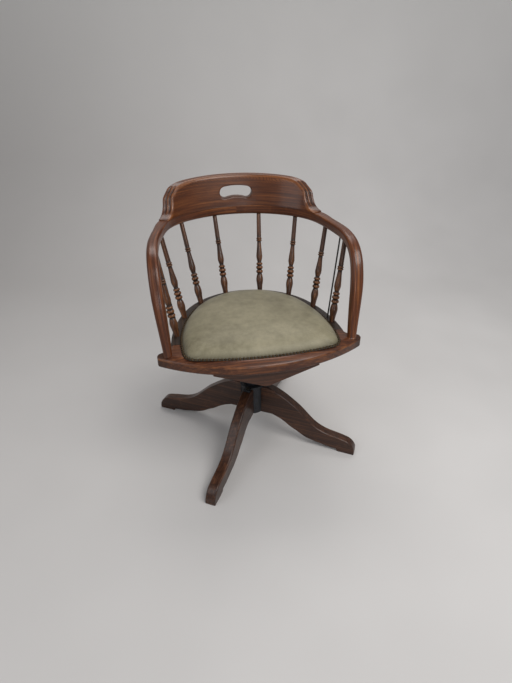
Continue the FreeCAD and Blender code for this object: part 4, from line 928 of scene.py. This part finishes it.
def leather():
    m = Shader("sage_leather")
    p = m.node("TexCoord").outputs["Object"]
    split = m.node("SeparateXYZ")
    m.link(p, split.inputs[0])
    cells = m.voronoi(p, 640.0)
    crease = m.noise(m.stretch(p, (170, 250, 170)), 1.0, 3.0, 0.6, 0.6)
    cloud = m.noise(m.stretch(p, (9, 9, 9)), 1.0, 3.0, 0.6)
    mottle = m.noise(m.stretch(p, (60, 60, 60)), 1.0, 3.0, 0.65)
    base, pale, deep = srgb(128, 122, 99), srgb(146, 139, 115), srgb(106, 100, 79)
    colour = m.ramp(cloud, (0.32, deep), (0.5, base), (0.70, pale))
    colour = m.mix(colour, m.ramp(mottle, (0.35, deep), (0.62, pale)), 0.28)
    back = m.range(split.outputs["Y"], -0.22, 0.20, 0.0, 0.42)
    colour = m.mix(colour, m.mix(colour, (0.60, 0.60, 0.62, 1), 1.0, "MULTIPLY"), back)
    low = m.range(split.outputs["Z"], 0.464, 0.482, 1.0, 0.0)
    edge = m.range(m.math("ADD", low, m.math("MULTIPLY", mottle, 0.5)), 0.62, 1.40)
    colour = m.mix(colour, srgb(62, 55, 40), m.math("MULTIPLY", edge, 0.62))
    colour = m.mix(colour, srgb(30, 25, 19), m.range(split.outputs["Z"], 0.4622, 0.4636, 0.92, 0.0))
    pit = m.range(cells, 0.30, 0.75, 0.0, 0.22)
    colour = m.mix(colour, m.mix(colour, (0.62, 0.60, 0.55, 1), 1.0, "MULTIPLY"), pit)
    rubs = m.noise(m.stretch(p, (30, 90, 30), turn=(0, 0, 0.7)), 1.0, 4.0, 0.7)
    scuff = m.range(rubs, 0.62, 0.78, 0.0, 0.20)
    colour = m.mix(colour, srgb(160, 154, 130), scuff)
    rough = m.math("ADD", m.math("MULTIPLY", mottle, 0.22), 0.40)
    height = m.math("ADD", m.math("MULTIPLY", cells, -0.6), m.math("MULTIPLY", crease, 0.55))
    normal = m.bump(height, 0.30, 0.00035)
    normal = m.bump(m.noise(m.stretch(p, (28, 44, 28)), 1.0, 2.0), 0.14, 0.0016, normal)
    return m.finish(colour, rough, normal, Specular_IOR_Level=0.36, Sheen_Weight=0.05)


def metal(name, dark, light, scale, rough, metallic, bump=0.2, rust=0.0):
    m = Shader(name)
    p = m.node("TexCoord").outputs["Object"]
    grime = m.noise(m.stretch(p, (scale, scale, scale)), 1.0, 5.0, 0.65)
    fine = m.noise(m.stretch(p, (scale * 9, scale * 9, scale * 9)), 1.0, 2.0, 0.5)
    colour = m.ramp(grime, (0.35, dark), (0.68, light))
    if rust:
        patches = m.noise(m.stretch(p, (scale * 2, scale * 2, scale * 2), move=(3, 1, 2)), 1.0, 6.0, 0.7)
        spots = m.range(patches, 0.56, 0.70)
        colour = m.mix(colour, srgb(88, 52, 30), m.math("MULTIPLY", spots, rust))
    r = m.math("ADD", m.math("MULTIPLY", grime, 0.3), rough - 0.15)
    normal = m.bump(m.math("ADD", grime, m.math("MULTIPLY", fine, 0.35)), bump, 0.0006)
    return m.finish(colour, r, normal, Metallic=metallic)


def plain_wood(name, dark, light):
    """Unpolished hidden timber."""
    m = Shader(name)
    p = m.node("TexCoord").outputs["Object"]
    fibre = m.noise(m.stretch(p, (14, 420, 420)), 1.0, 3.0, 0.6)
    cloud = m.noise(m.stretch(p, (8, 30, 30)), 1.0, 3.0)
    colour = m.ramp(fibre, (0.3, dark), (0.7, light))
    soiled = m.mix(colour, (0.55, 0.5, 0.48, 1), 1.0, "MULTIPLY")
    colour = m.mix(colour, soiled, m.math("MULTIPLY", cloud, 0.6))
    return m.finish(colour, m.math("ADD", m.math("MULTIPLY", fibre, 0.2), 0.55), m.bump(fibre, 0.3, 0.0003))


materials = {
    "crest": oak("oak_crest", srgb(48, 22, 9), srgb(96, 51, 23), srgb(138, 84, 42), flame=True, wear_and_painted_light=True,
                 gloss=0.26, line=0.78, dusk=(0.735, 0.825, 0.42)),
    "arm": oak("oak_arm", srgb(50, 23, 10), srgb(96, 50, 24), srgb(146, 90, 46), rings=150, pith=(0.06, 0.05),
               gloss=0.27, fleck=0.08),
    "oak_turned": oak("oak_turned", srgb(38, 20, 11), srgb(78, 46, 26), srgb(136, 88, 50), rings=170,
                      pith=(0.01, 0.02), gloss=0.30, wear_and_painted_light=True),
    "front_rail": oak("oak_front_rail", srgb(46, 22, 11), srgb(88, 47, 24), srgb(136, 84, 46),
                      source="object", rings=120, pith=(0.30, -0.40), gloss=0.27, fleck=0.12, wear_and_painted_light=True),
    "side_rail": oak("oak_side_rail", srgb(24, 17, 13), srgb(44, 31, 23), srgb(78, 60, 46), source="object",
                     order="YXZ", rings=130, pith=(0.4, -0.3), gloss=0.40),
    "back_rail": oak("oak_back_rail", srgb(24, 17, 13), srgb(44, 31, 23), srgb(78, 60, 46), source="object",
                     rings=130, pith=(0.1, -0.3), gloss=0.40),
    "under": oak("oak_under", srgb(42, 21, 12), srgb(74, 42, 26), srgb(110, 70, 44), source="object",
                 rings=140, pith=(0.5, -0.2), gloss=0.34, fleck=0.10),
    "board": plain_wood("pine_board", srgb(96, 72, 48), srgb(142, 110, 76)),
    "dowel": plain_wood("beech_dowel", srgb(150, 118, 82), srgb(190, 158, 118)),
    "iron": metal("black_iron", srgb(18, 19, 22), srgb(46, 48, 54), 90, 0.50, 0.25, 0.35, rust=0.18),
    "plate_iron": metal("plate_iron", srgb(20, 20, 22), srgb(50, 48, 48), 70, 0.55, 0.3, 0.35, rust=0.35),
    "steel": metal("oiled_steel", srgb(70, 68, 66), srgb(140, 136, 130), 160, 0.36, 0.9, 0.15, rust=0.15),
    "screw": metal("dull_screws", srgb(34, 31, 28), srgb(84, 78, 70), 220, 0.45, 0.7, 0.2, rust=0.3),
    "rod": metal("blackened_rod", srgb(22, 21, 20), srgb(60, 56, 52), 200, 0.42, 0.6, 0.15, rust=0.2),
    "nail": metal("antique_nail", srgb(30, 23, 15), srgb(82, 66, 44), 420, 0.38, 0.85, 0.2),
    "leather": leather(),
}
for index, name in enumerate(("leg_front", "leg_left", "leg_back", "leg_right")):
    angle = math.radians(239.25 + 90 * index)
    materials[name] = oak("oak_" + name, srgb(34, 18, 11), srgb(64, 38, 25), srgb(108, 70, 47),
                          source="object", turn=-angle, rings=115 + 12 * index,
                          pith=(0.03 + 0.02 * index, -0.24), gloss=0.30,
                          fleck=0.30 if index == 0 else 0.14)


def dress(name, material):
    obj = nodes[name]
    obj.data.materials.clear()
    obj.data.materials.append(materials[material])
    obj.data.polygons.foreach_set("use_smooth", [True] * len(obj.data.polygons))
    obj.data.set_sharp_from_angle(angle=math.radians(32))


for name, material in (("seat_left_rail", "side_rail"),
                       ("seat_right_rail", "side_rail"), ("seat_back_rail", "back_rail"),
                       ("seat_board", "board"), ("front_bearer", "under"), ("rear_bearer", "under"),
                       ("frame_dowels", "dowel"), ("crest_screws", "screw"), ("bearer_screws", "screw"),
                       ("spider_bolts", "screw"), ("leg_coach_screws", "screw"), ("stay_rod_left", "rod"),
                       ("stay_rod_right", "rod"), ("stay_nuts", "screw"), ("seat_spider", "iron"),
                       ("hub_casting", "iron"), ("hub_bottom_plate", "plate_iron"), ("capstan_nut", "iron"),
                       ("lift_key", "steel"), ("lift_screw", "steel"), ("thrust_washer", "steel"),
                       ("pivot_retainer", "steel"), ("leg_front", "leg_front"), ("leg_left", "leg_left"),
                       ("leg_back", "leg_back"), ("leg_right", "leg_right")):
    dress(name, material)

bow = make_bow()
bow.data.materials.append(materials["arm"])
crest = make_crest()
crest.data.materials.clear()
crest.data.materials.append(materials["crest"])
make_front_rail()
make_spindles()
make_pad()
make_nails()


# Room, light and camera

def make_stage():
    """One pale sheet: floor, a wide curve and the wall behind."""
    verts, faces = [], []
    radius = 1.3
    profile = [(-4.0, 0.0), (-2.0, 0.0), (0.0, 0.0), (1.2, 0.0)]
    for k in range(1, 25):
        a = math.radians(90 * k / 24)
        profile.append((1.2 + radius * math.sin(a), radius * (1 - math.cos(a))))
    profile += [(2.5, 2.0), (2.5, 4.0)]
    for x in (-6.0, 6.0):
        verts += [(x, y, z) for y, z in profile]
    n = len(profile)
    faces = [(k, k + 1, n + k + 1, n + k) for k in range(n - 1)]
    stage = new_piece("backdrop", verts, faces)
    stage.rotation_euler = (0, 0, math.radians(-10.7))
    m = Shader("backdrop_paper")
    p = m.node("TexCoord").outputs["Object"]
    split = m.node("SeparateXYZ")
    m.link(p, split.inputs[0])
    mottle = m.noise(m.stretch(p, (2, 2, 2)), 1.0, 2.0)
    colour = m.ramp(mottle, (0.3, srgb(199, 197, 196)), (0.7, srgb(206, 204, 203)))
    # Painted shade and shadow: the sheet is made darker towards the left.
    left = m.range(split.outputs["X"], -1.6, 0.9, 0.85, 0.0)
    colour = m.mix(colour, srgb(182, 179, 177), left)
    # Painted light: the wall is made paler higher up.
    up = m.range(split.outputs["Z"], 0.5, 2.2, 0.0, 0.8)
    colour = m.mix(colour, srgb(226, 225, 223), up)
    stage.data.materials.append(m.finish(colour, 0.9, None, Specular_IOR_Level=0.2))


def area(name, at, aim, size, energy, colour=(1, 1, 1)):
    data = bpy.data.lights.new(name, "AREA")
    data.shape = "RECTANGLE"
    data.size, data.size_y = size
    data.energy = energy
    data.color = colour
    obj = bpy.data.objects.new(name, data)
    bpy.context.scene.collection.objects.link(obj)
    obj.location = at
    obj.rotation_euler = (Vector(aim) - Vector(at)).to_track_quat("-Z", "Y").to_euler()


def make_camera():
    data = bpy.data.cameras.new("camera")
    data.sensor_width = 36.0
    data.lens = 471.98 / 683 * 36
    camera = bpy.data.objects.new("camera", data)
    bpy.context.scene.collection.objects.link(camera)
    yaw, pitch, roll = math.radians(10.667), math.radians(31.902), math.radians(-0.072)
    ahead = Vector((math.sin(yaw) * math.cos(pitch), math.cos(yaw) * math.cos(pitch), -math.sin(pitch)))
    camera.location = (-0.23309, -1.29792, 1.19225)
    camera.rotation_mode = "QUATERNION"
    rolled = Matrix.Rotation(roll, 3, ahead).to_quaternion()
    camera.rotation_quaternion = rolled @ ahead.to_track_quat("-Z", "Y")
    bpy.context.scene.camera = camera


make_stage()
area("key", (0.9, -1.4, 2.6), (0, 0, 0.4), (1.8, 1.4), 50, (1.0, 0.985, 0.96))
area("fill", (-1.9, -0.9, 1.7), (0, 0, 0.5), (1.4, 1.6), 11, (0.95, 0.97, 1.0))
area("top", (0.2, 1.0, 2.4), (0, 0.1, 0.6), (1.6, 1.0), 18, (1.0, 0.98, 0.96))
area("window", (-0.05, -3.4, 1.25), (0, 0, 0.8), (0.5, 1.1), 12, (0.93, 0.96, 1.0))
world = bpy.data.worlds.new("room")
world.use_nodes = True
world.node_tree.nodes["Background"].inputs[0].default_value = (0.80, 0.81, 0.83, 1)
world.node_tree.nodes["Background"].inputs[1].default_value = 0.33
bpy.context.scene.world = world
bpy.context.scene.view_settings.view_transform = "Standard"
make_camera()
